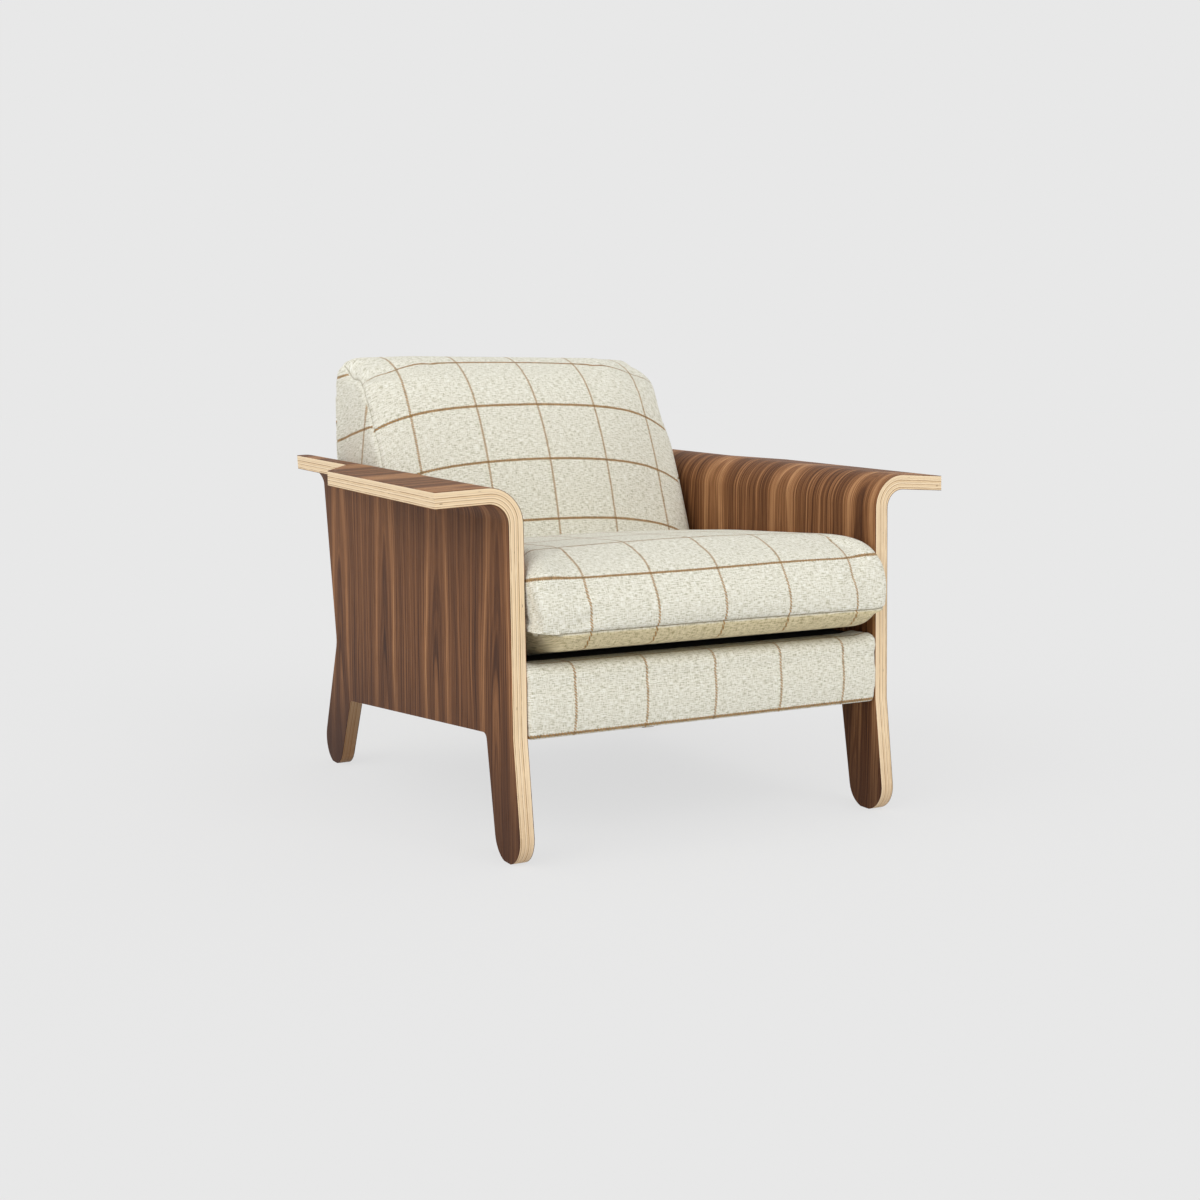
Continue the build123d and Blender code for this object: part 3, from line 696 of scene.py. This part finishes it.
def sloping_cloth(name, low, high, front_z, rear_z, cuts):
    """Cloth that slopes from a front height to a rear one, and its flat size."""
    wide, deep = high.x - low.x, high.y - low.y
    thing = grid(name, (wide, deep), (cuts, cuts), ((low.x + high.x) / 2, (low.y + high.y) / 2, 0))
    points = points_of(thing)
    points[:, 2] = front_z + (points[:, 1] - low.y) / deep * (rear_z - front_z)
    move_points(thing, points)
    return thing, (wide, math.hypot(deep, rear_z - front_z))


def repeat(name, pattern, spots):
    """One piece with a copy of the pattern at each spot; the pattern itself is removed."""
    points = np.c_[points_of(pattern), np.ones(len(pattern.data.vertices))]
    faces = [tuple(face.vertices) for face in pattern.data.polygons]
    placed = np.concatenate([(points @ np.array(spot).T)[:, :3] for spot in spots])
    starts = range(0, len(placed), len(points))
    all_faces = [tuple(index + start for index in face) for start in starts for face in faces]
    mesh = bpy.data.meshes.new(name)
    mesh.from_pydata(placed.tolist(), [], all_faces)
    mesh.update()
    bpy.data.objects.remove(pattern)
    return add_object(name, mesh)


def even_noise(points, scale, seed):
    """Smooth waves without a random draw, from -1 to 1."""
    waves, bearing_step, scale_step, tilt = 4, 2.4, 0.37, 1.7
    total = np.zeros(len(points))
    for turn in range(waves):
        bearing = seed + bearing_step * turn
        direction = np.array([math.cos(bearing), math.sin(bearing * tilt), math.sin(bearing)])
        total += np.sin(points @ direction * (scale * (1 + scale_step * turn)) + seed * (turn + 1))
    return total / waves


def ease(value, low, high):
    """Smooth step from 0 at low to 1 at high."""
    share = np.clip((value - low) / (high - low), 0, 1)
    return share * share * (3 - 2 * share)


def pull_seam(thing, distance):
    """Sinks the cloth along a seam; distance is each point's distance from it."""
    soft = settings("chair_soft")
    points = points_of(thing)
    pucker = 0.25
    waves = 1 + pucker * even_noise(points, scale=160, seed=1.3)
    sink = soft.seam_depth * waves * np.exp(-(distance / (soft.seam_reach / 2)) ** 2)
    move_points(thing, points - normals_of(thing) * sink[:, None])


def lay_cloth(thing, place, seam=None, under=None):
    """Writes the cloth's own axes at each face corner.

    Place gives them for the corners, with the normals and the middles of their faces. Seam is each
    point's distance from a seam, and the last argument its share of the painted shade below the lower
    seam.
    """
    mesh = thing.data
    points = points_of(thing)
    values = {SEAM: np.full(len(points), NO_SEAM) if seam is None else seam}
    if under is not None:
        values[UNDER_SHADE] = under
    for name, value in values.items():
        mesh.attributes.new(name, "FLOAT", "POINT").data.foreach_set("value", value.astype(np.float32))
    corner = read_whole(mesh.loops, "vertex_index")
    face = np.repeat(np.arange(len(mesh.polygons)), read_whole(mesh.polygons, "loop_total"))
    normals, middles = (read(mesh.polygons, key)[face] for key in ("normal", "center"))
    laid = place(points[corner], normals, middles)
    mesh.uv_layers.new(name=CLOTH_UV).data.foreach_set("uv", laid.astype(np.float32).ravel())


def rolled_length(y, z, corner_y, corner_z, radius):
    """Distance up a face, round a corner and back along the top, from the corner's own height."""
    below = z < corner_z
    turn = np.arctan2(np.maximum(z - corner_z, 0), np.maximum(corner_y - y, TINY))
    turn = np.where(y > corner_y, math.pi / 2, turn)
    turn = np.where(below, 0, turn)
    top = np.where(below, 0, np.maximum(y - corner_y, 0))
    return np.minimum(z - corner_z, 0) + radius * turn + top


# Pieces: lengths are in metres, with X across, Y to the rear and Z up

class CHAIR_OT_panels(bpy.types.Operator):
    """Finish the bent plywood sides"""
    bl_idname = "chair.panels"
    bl_label = "Plywood sides"

    def execute(self, context):
        look = settings("chair_wood")
        # The inside faces get their own copy of the walnut, painted lighter as painted light.
        inside = walnut("walnut_inside_painted_light", look.inside_painted_light, look.inside_contrast)
        outside = walnut("walnut_outside", look.outside_lift, look.outside_contrast)
        dress_nodes(inside, "left_inner_veneer", "right_inner_veneer")
        dress_nodes(outside, "left_outer_veneer", "right_outer_veneer")
        dress_nodes(ply_edge("plywood_edge"), "left_panel_core", "right_panel_core")
        return {"FINISHED"}


class CHAIR_OT_frame(bpy.types.Operator):
    """Finish the hidden frame, suspension and fixings"""
    bl_idname = "chair.frame"
    bl_label = "Hidden frame"

    def execute(self, context):
        dress_nodes(
            plain_timber("planed_beech"), "front_rail", "rear_rail", "left_side_rail", "right_side_rail",
            "corner_blocks", "left_back_post", "right_back_post", "top_rail", "lumbar_rail")
        dress_nodes(foam_block("foam"), "deck_pad")
        dress_nodes(
            ribbed_cloth("webbing", pale=(0.05, 0.045, 0.04), dark=(0.02, 0.018, 0.016), rib=0.004),
            "seat_webbing", "back_webbing")
        dress_nodes(steel_finish(), "side_bolts", "bolt_washers", "insert_nuts", "post_bolts")
        return {"FINISHED"}


class CHAIR_OT_cushion(bpy.types.Operator):
    """Make the loose seat cushion"""
    bl_idname = "chair.cushion"
    bl_label = "Seat cushion"

    def execute(self, context):
        soft = settings("chair_soft")
        thing = pad_from("cushion_foam", "seat_cushion", soft.voxel)
        points = self.fill_front(points_of(thing), soft)
        move_points(thing, points)
        facing_down, rear_depth = -0.9, 0.11
        flat = normals_of(thing)[:, 2] < facing_down
        rear = points[:, 1] > cushion_high.y - rear_depth
        swell(thing, flat | rear)
        refine(thing)
        move_points(thing, self.square_ends(points_of(thing)))
        seam_depth, seam_width, shade_gone, shade_full = 0.12, 0.05, 0.26, 0.08
        points = points_of(thing)
        front = points[:, 1] < cushion_low.y + seam_depth
        side = np.abs(points[:, 0]) > cushion_high.x - seam_width
        seam = np.where(front | side, points[:, 2] - soft.under_seam_z, NO_SEAM)
        pull_seam(thing, seam)
        # Share of the painted shade below the lower seam, fading out towards the cushion's rear.
        under = ease(points[:, 1], cushion_low.y + shade_gone, cushion_low.y + shade_full)
        lay_cloth(thing, self.check_place, seam, under)
        finish_piece(thing, cloth_finish(), CUSHION, "check_fabric", "cushion_cover", "cushion_foam")
        return {"FINISHED"}

    @staticmethod
    def check_place(at, normal, middle):
        """Rolls the check over the nose, with its lines where the real cushion has them."""
        soft = settings("chair_soft")
        pitch = settings("chair_fabric").pitch
        x, aside, behind = at[:, 0], np.abs(at[:, 0]), at[:, 1] - cushion_low.y
        nose, crown, line_depth = soft.nose_radius, 0.021, 0.86
        corner = cushion_low.y + nose, soft.first_line_z + crown - nose
        first = rolled_length(corner[0] - nose * line_depth, soft.first_line_z, *corner, nose)
        line_rise = 0.0065 * ease(x, -0.12, 0.22)
        along = rolled_length(at[:, 1], at[:, 2], *corner, nose) - first - line_rise
        seen = [-1.085, -0.085, 0, 0.1, 1]
        on_cloth = [-0.685, -0.085, 0, pitch, 0.9 + pitch]
        along = np.interp(along, seen, on_cloth)
        slant, slant_depth = 0.19, 0.06
        level = at[:, 2] - soft.first_line_z - line_rise + slant * np.minimum(behind, slant_depth)
        end = ease(aside, 0.22, 0.3) * ease(level, 0.02, 0.004) * ease(behind, 0.11, 0.07)
        shift, stretch, left_pull, right_pull, turn_depth = 0.0035, 1.035, 0.006, 0.014, 0.03
        across = (x + shift) * stretch
        across -= left_pull * ease(-x, 0.13, 0.24) + right_pull * ease(x, 0.13, 0.24)
        across += np.sign(x) * ease(aside, 0.29, 0.325) * np.clip(behind, 0, turn_depth)
        laid = np.stack([across, along * (1 - end) + level * end], 1)
        facing_side, side_shift = 0.94, 0.6 * pitch
        sides = np.abs(normal[:, 0]) > facing_side
        laid[sides] = np.stack([behind[sides] - side_shift, level[sides]], 1)
        return laid

    @staticmethod
    def fill_front(points, soft):
        """Bulges the front between its top edge and its foot, and lifts the foot off the deck."""
        x, y, z = points.T
        aside = np.abs(x)
        front_y, seam_z = cushion_low.y, soft.under_seam_z
        bulge_z, bulge_height = seam_z + 0.02, 0.05
        bulge = soft.bulge * ease(y, front_y + 0.08, front_y)
        bulge *= np.exp(-((z - bulge_z) / bulge_height) ** 2)
        chin = soft.chin * ease(z, seam_z, seam_z - 0.055) * ease(y, front_y + 0.12, front_y + 0.02)
        foot = ease(z, seam_z, seam_z - 0.04) * ease(y, front_y + 0.17, front_y + 0.03)
        left_end, corner = ease(-x, 0.275, 0.318), ease(aside, 0.28, 0.325)
        lift = (soft.lift + soft.end_lift * left_end + soft.corner_lift * corner) * foot
        end_share = 0.6
        settle = soft.settle * (1 - end_share * ease(aside, 0.26, 0.325))
        settle *= ease(z, seam_z, soft.first_line_z + 0.01)
        return np.stack([x, y - bulge - chin, z + lift - settle], 1)

    @staticmethod
    def square_ends(points):
        """Fills the cushion's front corners out towards the panels beside them."""
        x, y, z = points.T
        aside = np.abs(x)
        most_fill, clearance = 0.008, 0.0012
        near = ease(y, cushion_low.y + 0.3, cushion_low.y + 0.12)
        fill = most_fill * ease(aside, 0.25, 0.31) * near * ease(z, 0.37, 0.43)
        filled = np.minimum(aside + fill, panel_low.x - clearance)
        return np.stack([np.sign(x) * filled, y, z], 1)


class CHAIR_OT_back(bpy.types.Operator):
    """Make the padded back with its side boxing"""
    bl_idname = "chair.back"
    bl_label = "Padded back"

    def execute(self, context):
        soft = settings("chair_soft")
        thing = pad_from("back_foam", "padded_back", soft.voxel)
        points = self.drop_corners(points_of(thing), soft)
        move_points(thing, points)
        rear_depth, foot_height, facing_rear = 0.05, 0.03, 0.5
        seam = np.abs(np.abs(points[:, 0]) - self.seam_line(points)) < soft.voxel
        rear = points[:, 1] > back_high.y - rear_depth
        foot = points[:, 2] < back_low.z + foot_height
        inside = normals_of(thing)[:, 1] > facing_rear
        swell(thing, seam | rear | foot | inside)
        refine(thing)
        facing_front, seam_shade_offset = 0.3, 0.0006
        points = points_of(thing)
        # The offset keeps the back's painted seam shadow faint and its groove a little shallower.
        off = np.abs(np.abs(points[:, 0]) - self.seam_line(points)) + seam_shade_offset
        seam = np.where(normals_of(thing)[:, 1] < facing_front, off, NO_SEAM)
        pull_seam(thing, seam)
        lay_cloth(thing, self.check_place, seam)
        finish_piece(
            thing, cloth_finish(), CHAIR, "check_fabric",
            "back_foam", "back_front_panel", "back_left_boxing", "back_right_boxing")
        return {"FINISHED"}

    @staticmethod
    def check_place(at, normal, middle):
        """Rolls the check up the front, over the top and down the rear, and lays it on the boxing."""
        pitch = settings("chair_fabric").pitch
        x, y, z = at.T
        aside = np.abs(x)
        rake, roll, roll_depth, rear_drop = math.radians(20.5), 0.055, 0.115, 0.016
        back, rise = y - (back_high.y - roll_depth), z - (back_high.z - roll)
        up = back * math.sin(rake) + rise * math.cos(rake)
        out = -back * math.cos(rake) + rise * math.sin(rake)
        turn = np.clip(np.arctan2(up, np.maximum(out, TINY)), 0, math.pi / 2 - rake)
        turn = np.where((out <= 0) & (up > 0), math.pi / 2 - rake, turn)
        along = np.minimum(up, 0) + roll * turn + np.where(up > 0, np.maximum(back, 0), 0)
        behind = ease(y, back_high.y - 0.014, back_high.y - 0.002)
        along = along + np.maximum(back_high.z - rear_drop - z, 0) * behind
        bow, edge_fall, right_share, edge, edge_power = 0.012, 0.033, 0.24, 0.325, 6
        fall = edge_fall * (1 + right_share * np.sign(x)) * (aside / edge) ** edge_power
        along = along + (bow * (aside / back_high.x) ** 2 + fall) * ease(y, 0.425, 0.36)
        seen = [-0.528, -0.411, -0.295, -0.179, -0.066, 0.073, 0.215, 0.342]
        along = np.interp(along, seen, pitch * np.arange(len(seen)))
        shift, stretch = 0.0045, 1.012
        laid = np.stack([(x - shift) * stretch, along], 1)
        tilt, line_y, line_level, squeeze, spread = math.radians(11.2), 0.2925, 0.689, 0.7, 1.09
        level = z * math.cos(tilt) + y * math.sin(tilt)
        on_boxing = np.stack([(y - line_y) * squeeze, (level - line_level) * spread], 1)
        boxing = np.abs(middle[:, 0]) > CHAIR_OT_back.seam_line(middle)
        return np.where(boxing[:, None], on_boxing, laid)

    @staticmethod
    def side_shift(y, z):
        """How far the sides of the back stand out at each depth and height."""
        corner_fill, rear_fill, front_slim = 0.007, 0.003, 0.006
        corner = ease(z, 0.71, 0.765) * ease(y, 0.35, 0.41)
        front = ease(z, 0.6, 0.68) * ease(z, 0.77, 0.71) * ease(y, 0.36, 0.28)
        return corner_fill * corner + rear_fill * ease(y, 0.39, 0.42) - front_slim * front

    @staticmethod
    def seam_line(points):
        """Distance of the boxing's seam from the middle of the back."""
        top_spread = 0.003
        return back_high.x + top_spread * ease(points[:, 2], 0.66, 0.74)

    @staticmethod
    def drop_corners(points, soft):
        """Lets the sides of the back's top and front fall away towards its middle."""
        x, y, z = points.T
        aside = np.abs(x)
        hub, hub_reach, fall_turn, fall_spread = np.array([0.40, 0.56]), 0.25, 18, 50
        off = points[:, 1:3] - hub
        reach = np.linalg.norm(off, axis=1)
        turn = np.degrees(np.arctan2(-off[:, 0], off[:, 1]))
        fall = soft.corner_fall * np.exp(-((turn - fall_turn) / fall_spread) ** 2)
        fall *= ease(aside, 0.19, back_high.x) * np.minimum(reach / hub_reach, 1)
        fall *= ease(y, 0.42, 0.35)
        moved = points.copy()
        moved[:, 1:3] -= off / np.maximum(reach, TINY)[:, None] * fall[:, None]
        moved[:, 0] += CHAIR_OT_back.side_shift(y, z) * ease(aside, 0.22, 0.31) * np.sign(x)
        return moved


class CHAIR_OT_border(bpy.types.Operator):
    """Make the padded border below the cushion"""
    bl_idname = "chair.border"
    bl_label = "Front border"

    def execute(self, context):
        finer, bulge, bulge_depth, bulge_end = 0.6, 0.0015, 0.02, 0.05
        voxel = settings("chair_soft").voxel * finer
        thing = pad_from("front_border_foam", "front_border", voxel)
        points = points_of(thing)
        middle_z = (border_low.z + border_high.z) / 2
        half = (border_high.z - border_low.z) / 2
        full = np.clip(1 - ((points[:, 2] - middle_z) / half) ** 2, 0, 1)
        full *= ease(points[:, 1], border_low.y + bulge_depth, border_low.y)
        full *= ease(np.abs(points[:, 0]), border_high.x, border_high.x - bulge_end)
        points[:, 1] -= bulge * full
        move_points(thing, self.square_edges(points))
        refine(thing)
        lay_cloth(thing, self.check_place)
        finish_piece(
            thing, cloth_finish(), CHAIR, "check_fabric", "front_border_foam", "front_border_cover")
        return {"FINISHED"}

    @staticmethod
    def check_place(at, normal, middle):
        """Rolls the check over the top edge, with one line along the foot."""
        inset, roll, line_rise, shift, stretch = 0.03, 0.026, 0.006, 0.004, 1.08
        corner_y, corner_z = border_low.y + inset, border_high.z - inset
        line_z = border_low.z + line_rise
        along = rolled_length(at[:, 1], at[:, 2], corner_y, corner_z, roll) + corner_z - line_z
        return np.stack([at[:, 0] - shift, along * stretch], 1)

    @staticmethod
    def square_edges(points):
        """Fills out the rolled top edge and the top corners of the ends."""
        moved = points.copy()
        power, front_radius, end_radius = 3.2, 0.038, 0.03
        for axis, edge, radius in ((1, -border_low.y, front_radius), (0, border_high.x, end_radius)):
            side = np.where(moved[:, axis] < 0, -1.0, 1.0)
            out = np.maximum(np.abs(moved[:, axis]) - (edge - radius), 0) / radius
            up = np.maximum(moved[:, 2] - (border_high.z - radius), 0) / radius
            square_reach = (out ** power + up ** power) ** (1 / power)
            grow = np.hypot(out, up) / np.maximum(square_reach, TINY) - 1
            corner = (out > 0) & (up > 0)
            moved[:, axis] += np.where(corner, side * out * grow * radius, 0)
            moved[:, 2] += np.where(corner, up * grow * radius, 0)
        return moved


class CHAIR_OT_rear(bpy.types.Operator):
    """Make the fabric panel on the rear of the back"""
    bl_idname = "chair.rear"
    bl_label = "Outside back"

    def execute(self, context):
        soft = settings("chair_soft")
        thickness, cuts, edge_round = 0.004, 47, 0.0014
        corner_turn, side_power, end_power = 0.96, 5, 7
        height = rear_high.z - rear_low.z
        wide = rear_high.x
        thing = block((2 * wide, thickness, height), (0, 0, (rear_low.z + rear_high.z) / 2))
        thing.name = "outside_back_panel"
        edit_mesh(thing, (bpy.ops.mesh.subdivide, {"number_cuts": cuts}))
        points = points_of(thing)
        x, y, z = points.T
        up = np.clip((z - (rear_high.z - soft.rear_corner)) / soft.rear_corner, 0, 1)
        shrink = soft.rear_corner * (1 - np.sqrt(1 - up ** 2 * corner_turn))
        across = x / wide
        knee = np.clip((z - rear_low.z) / (soft.rear_knee - rear_low.z), 0, 1)
        plane_y = rear_low.y + thickness + knee * (rear_high.y - rear_low.y - thickness)
        rise = (z - rear_low.z) / height
        full = (1 - np.abs(across) ** side_power) * (1 - np.abs(2 * rise - 1) ** end_power)
        depth = plane_y - thickness / 2 + soft.rear_swell * full * (y > 0)
        move_points(thing, np.stack([across * (wide - shrink), y + depth, z], 1))
        bevel(thing, edge_round, segments=3)
        smooth(thing)
        lay_cloth(thing, self.check_place)
        finish_piece(thing, cloth_finish(), CHAIR, "check_fabric", "outside_back")
        return {"FINISHED"}

    @staticmethod
    def check_place(at, normal, middle):
        """Lays the check upright, with one line below the top edge."""
        line_drop = 0.06
        return np.stack([at[:, 0], at[:, 2] - (rear_high.z - line_drop)], 1)


class CHAIR_OT_deck(bpy.types.Operator):
    """Make the deck cloth below the cushion and the dust cloth below the seat"""
    bl_idname = "chair.deck"
    bl_label = "Deck and dust cloths"

    def execute(self, context):
        self.make_deck()
        self.make_dust()
        self.staple_edges()
        return {"FINISHED"}

    @staticmethod
    def make_deck():
        thickness, node_thickness, ripple = 0.0012, 0.0015, 0.0002
        rear_z = deck_low.z + node_thickness
        thing, ends = sloping_cloth("deck_cloth", deck_low, deck_high, deck_high.z, rear_z, cuts=48)
        points = points_of(thing)
        points[:, 2] -= thickness / 2 + ripple * (1 + even_noise(points, scale=60, seed=0.7))
        move_points(thing, points)
        thicken(thing, thickness)
        smooth(thing)
        # Near-black lining; its darkness also paints the shade in the gap between the cushion and the
        # border.
        lining = ribbed_cloth(
            "deck_lining", pale=(0.05, 0.046, 0.04), dark=(0.025, 0.022, 0.018), rib=0.0022)
        finish_piece(thing, lining, CHAIR, "check_fabric", "deck_cover")

    @staticmethod
    def make_dust():
        thickness, ripple, power = 0.0009, 0.0006, 4
        rear_z = dust_low.z + DUST_NODE_THICKNESS
        thing, ends = sloping_cloth("dust_cloth", dust_low, dust_high, dust_high.z, rear_z, cuts=64)
        points = points_of(thing)
        across = np.abs(points[:, 0]) / dust_high.x
        back = np.abs(2 * (points[:, 1] - dust_low.y) / (dust_high.y - dust_low.y) - 1)
        loose = (1 - across ** power) * (1 - back ** power)
        pucker = ease(np.maximum(across, back), 0.86, 0.97) * even_noise(points, scale=105, seed=2.1)
        sag = settings("chair_soft").dust_sag * loose
        points[:, 2] -= thickness / 2 + sag + ripple * (1 + pucker)
        move_points(thing, points)
        thicken(thing, thickness)
        smooth(thing)
        cloth = ribbed_cloth(
            "dust_cloth", pale=(0.035, 0.035, 0.035), dark=(0.012, 0.012, 0.012), rib=0.003)
        finish_piece(thing, cloth, CHAIR, "dust_cloth", "dust_cover")

    @staticmethod
    def staple_edges():
        """Drives staples through the dust cloth into the rails."""
        size, edge_round, inset, below = (0.0105, 0.0012, 0.0009), 0.0003, 0.009, 0.0017
        pattern = block(size)
        bevel(pattern, edge_round, segments=2)
        pitch = settings("chair_soft").staple_pitch
        fall = dust_high.z - dust_low.z - DUST_NODE_THICKNESS
        slope = math.atan2(fall, dust_high.y - dust_low.y)
        places = []
        for side in (-1, 1):
            for y in np.arange(dust_low.y + 0.03, dust_high.y - 0.02, pitch):
                places.append((side * (dust_high.x - inset), y, math.pi / 2))
        for y in (dust_low.y + inset, dust_high.y - inset):
            for x in np.arange(dust_low.x + 0.04, dust_high.x - 0.03, pitch):
                places.append((x, y, 0.0))
        tilt = Matrix.Rotation(-slope, 4, "X")
        spots = []
        for x, y, turn in places:
            z = dust_high.z - (y - dust_low.y) * math.tan(slope) - below
            spots.append(Matrix.Translation((x, y, z)) @ tilt @ Matrix.Rotation(turn, 4, "Z"))
        thing = repeat("dust_staples", pattern, spots)
        finish_piece(thing, steel_finish(), CHAIR, "steel")


class CHAIR_OT_zip(bpy.types.Operator):
    """Make the zip on the rear of the cushion"""
    bl_idname = "chair.zip"
    bl_label = "Zip"

    def execute(self, context):
        node_thickness = 0.0012
        lean = math.atan2(tape_high.y - tape_low.y - node_thickness, tape_high.z - tape_low.z)
        turned = Matrix.Rotation(math.pi / 2 - lean, 4, "X") @ Matrix.Rotation(math.pi, 4, "Y")
        on_rear = Matrix.Translation((tape_low + tape_high) / 2) @ turned
        self.make_tape(on_rear)
        self.make_teeth(on_rear)
        self.make_slider(on_rear)
        return {"FINISHED"}

    @staticmethod
    def make_tape(on_rear):
        """Tape that rises to its teeth and is sewn down at its edges."""
        width, thickness, rise, sewn = 0.026, 0.0008, 0.0004, 0.0002
        long = tape_high.x - tape_low.x
        thing = grid("zip_tape_cloth", (long, width), cuts=(90, 26))
        points = points_of(thing)
        off = np.abs(points[:, 1])
        points[:, 2] = rise * ease(off, 0.005, 0.002) - sewn * ease(off, 0.0115, 0.0128)
        move_points(thing, points)
        thicken(thing, thickness)
        thing.data.transform(on_rear)
        tape = ribbed_cloth("zip_tape", pale=(0.62, 0.58, 0.47), dark=(0.45, 0.42, 0.33), rib=0.0016)
        finish_piece(thing, tape, CUSHION, "zip_tape", "zip_tape")

    @staticmethod
    def make_teeth(on_rear):
        """Two rows of teeth that mesh along the middle of the tape."""
        size, edge_round, pitch, row, level = (0.0013, 0.0034, 0.0016), 0.0004, 0.0026, 0.0009, 0.0012
        pattern = block(size)
        bevel(pattern, edge_round, segments=1)
        spots = []
        for index, x in enumerate(np.arange(tape_low.x + 0.006, tape_high.x - 0.005, pitch / 2)):
            aside = row if index % 2 else -row
            spots.append(on_rear @ Matrix.Translation((x, aside, level)))
        thing = repeat("zip_teeth", pattern, spots)
        finish_piece(thing, steel_finish(), CUSHION, "steel")

    @staticmethod
    def make_slider(on_rear):
        """Slider of two waisted plates, with a bridge and a pull that hangs down."""
        low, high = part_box("zip_slider")
        centre = on_rear.inverted() @ ((low + high) / 2)
        long, wide, thickness, edge_round, waist = high.x - low.x, 0.0098, 0.0013, 0.0004, 0.18
        lower, upper, bridge, cuts = -0.0014, 0.001, 0.0012, 5
        parts = []
        for level in (lower, upper):
            plate = block((long, wide, thickness), (centre.x, centre.y, centre.z + level))
            edit_mesh(plate, (bpy.ops.mesh.subdivide, {"number_cuts": cuts}))
            points = points_of(plate)
            along = (points[:, 0] - centre.x) / long
            narrow = 1 - waist + waist * np.cos(math.tau * (along - 0.25))
            points[:, 1] = centre.y + (points[:, 1] - centre.y) * narrow
            move_points(plate, points)
            bevel(plate, edge_round, segments=2)
            parts.append(plate)
        deselect()
        bpy.ops.mesh.primitive_torus_add(
            major_segments=28, minor_segments=10, major_radius=0.0026, minor_radius=0.0008,
            location=(centre.x, centre.y, centre.z + bridge), rotation=(math.pi / 2, 0, 0))
        parts.append(scale_new((1, 1, 1)))
        parts.append(CHAIR_OT_zip.pull_tab(centre))
        pick(*parts)
        bpy.ops.object.join()
        thing = parts[0]
        thing.name = "zip_slider_pull"
        thing.data.transform(on_rear)
        smooth(thing)
        finish_piece(thing, steel_finish(), SLIDER, "steel", "zip_slider")

    @staticmethod
    def pull_tab(centre):
        """Flat pull with a rounded end and a slot for the bridge."""
        half_width, half_length, taper, blunt, rim = 0.0032, 0.009, 0.15, 0.6, 0.0011
        thickness, edge_round, drop, above = 0.001, 0.0002, 0.0085, 0.002
        deselect()
        bpy.ops.mesh.primitive_circle_add(vertices=32, radius=1, fill_type="NGON")
        thing = bpy.context.object
        points = points_of(thing)
        points[:, 0] = half_width * points[:, 0] * (1 - taper - taper * points[:, 1])
        points[:, 1] = np.sign(points[:, 1]) * np.abs(points[:, 1]) ** blunt * half_length
        move_points(thing, points + np.array([centre.x, centre.y - drop, centre.z + above]))
        edit_mesh(
            thing, (bpy.ops.mesh.inset, {"thickness": rim}), (bpy.ops.mesh.delete, {"type": "FACE"}))
        thicken(thing, thickness)
        bevel(thing, edge_round, segments=2)
        return thing


class CHAIR_OT_stage(bpy.types.Operator):
    """Set the floor, the lights and the camera"""
    bl_idname = "chair.stage"
    bl_label = "Stage"

    def execute(self, context):
        look = settings("chair_stage")
        deselect()
        bpy.ops.mesh.primitive_plane_add(size=FLOOR_SIZE, location=(0, 0, FLOOR_Z))
        floor = context.object
        floor.name = "studio_floor"
        context.scene.world = studio_sky("studio_sky", look)
        level = look.sky
        level += self.hang_lamp("key", (0.15, -0.75, 0.65), look.key, spread=40)
        level += self.hang_lamp("side", (-0.85, -0.2, 0.48), look.side, spread=60)
        floor.data.materials.append(studio_floor("studio_floor", look, level))
        self.set_camera(look)
        context.scene.view_settings.view_transform = "Standard"
        return {"FINISHED"}

    @staticmethod
    def hang_lamp(name, source, strength, spread):
        """Hangs a sun towards source and returns the light that it gives a level floor."""
        lamp = bpy.data.lights.new(name, "SUN")
        lamp.energy = strength
        lamp.angle = math.radians(spread)
        way = Vector(source).normalized()
        add_object(name, lamp).rotation_euler = way.to_track_quat("Z", "Y").to_euler()
        return strength * way.z / math.pi

    @staticmethod
    def set_camera(look):
        eye = bpy.data.cameras.new("camera")
        eye.lens = look.lens
        eye.clip_end = CLIP_END
        thing = add_object("camera", eye)
        thing.location = look.camera_place
        thing.rotation_euler = (math.pi / 2 - look.camera_pitch, 0, look.camera_yaw)
        bpy.context.scene.camera = thing


OPERATORS = (
    CHAIR_OT_panels, CHAIR_OT_frame, CHAIR_OT_cushion, CHAIR_OT_back, CHAIR_OT_border, CHAIR_OT_rear,
    CHAIR_OT_deck, CHAIR_OT_zip, CHAIR_OT_stage)
GROUPS = {
    "chair_fabric": ChairFabric,
    "chair_wood": ChairWood,
    "chair_soft": ChairSoft,
    "chair_stage": ChairStage,
}


class CHAIR_PT_sidebar(bpy.types.Panel):
    """Lists the pieces of the chair"""
    bl_idname = "CHAIR_PT_sidebar"
    bl_label = "Lounge chair"
    bl_space_type = "VIEW_3D"
    bl_region_type = "UI"
    bl_category = "Chair"

    def draw(self, context):
        for operator in OPERATORS:
            self.layout.operator(operator.bl_idname)
        for group in GROUPS:
            values = getattr(context.scene, group)
            box = self.layout.box()
            for name in values.__annotations__:
                box.prop(values, name)


def register():
    for made in (*GROUPS.values(), *OPERATORS, CHAIR_PT_sidebar):
        bpy.utils.register_class(made)
    for name, group in GROUPS.items():
        setattr(bpy.types.Scene, name, bpy.props.PointerProperty(type=group))


def unregister():
    for name in GROUPS:
        delattr(bpy.types.Scene, name)
    for made in (CHAIR_PT_sidebar, *reversed(OPERATORS), *GROUPS.values()):
        bpy.utils.unregister_class(made)


def main():
    register()
    bpy.ops.chair.panels()
    bpy.ops.chair.frame()
    bpy.ops.chair.cushion()
    bpy.ops.chair.back()
    bpy.ops.chair.border()
    bpy.ops.chair.rear()
    bpy.ops.chair.deck()
    bpy.ops.chair.zip()
    bpy.ops.chair.stage()


if __name__ == "__main__":
    main()
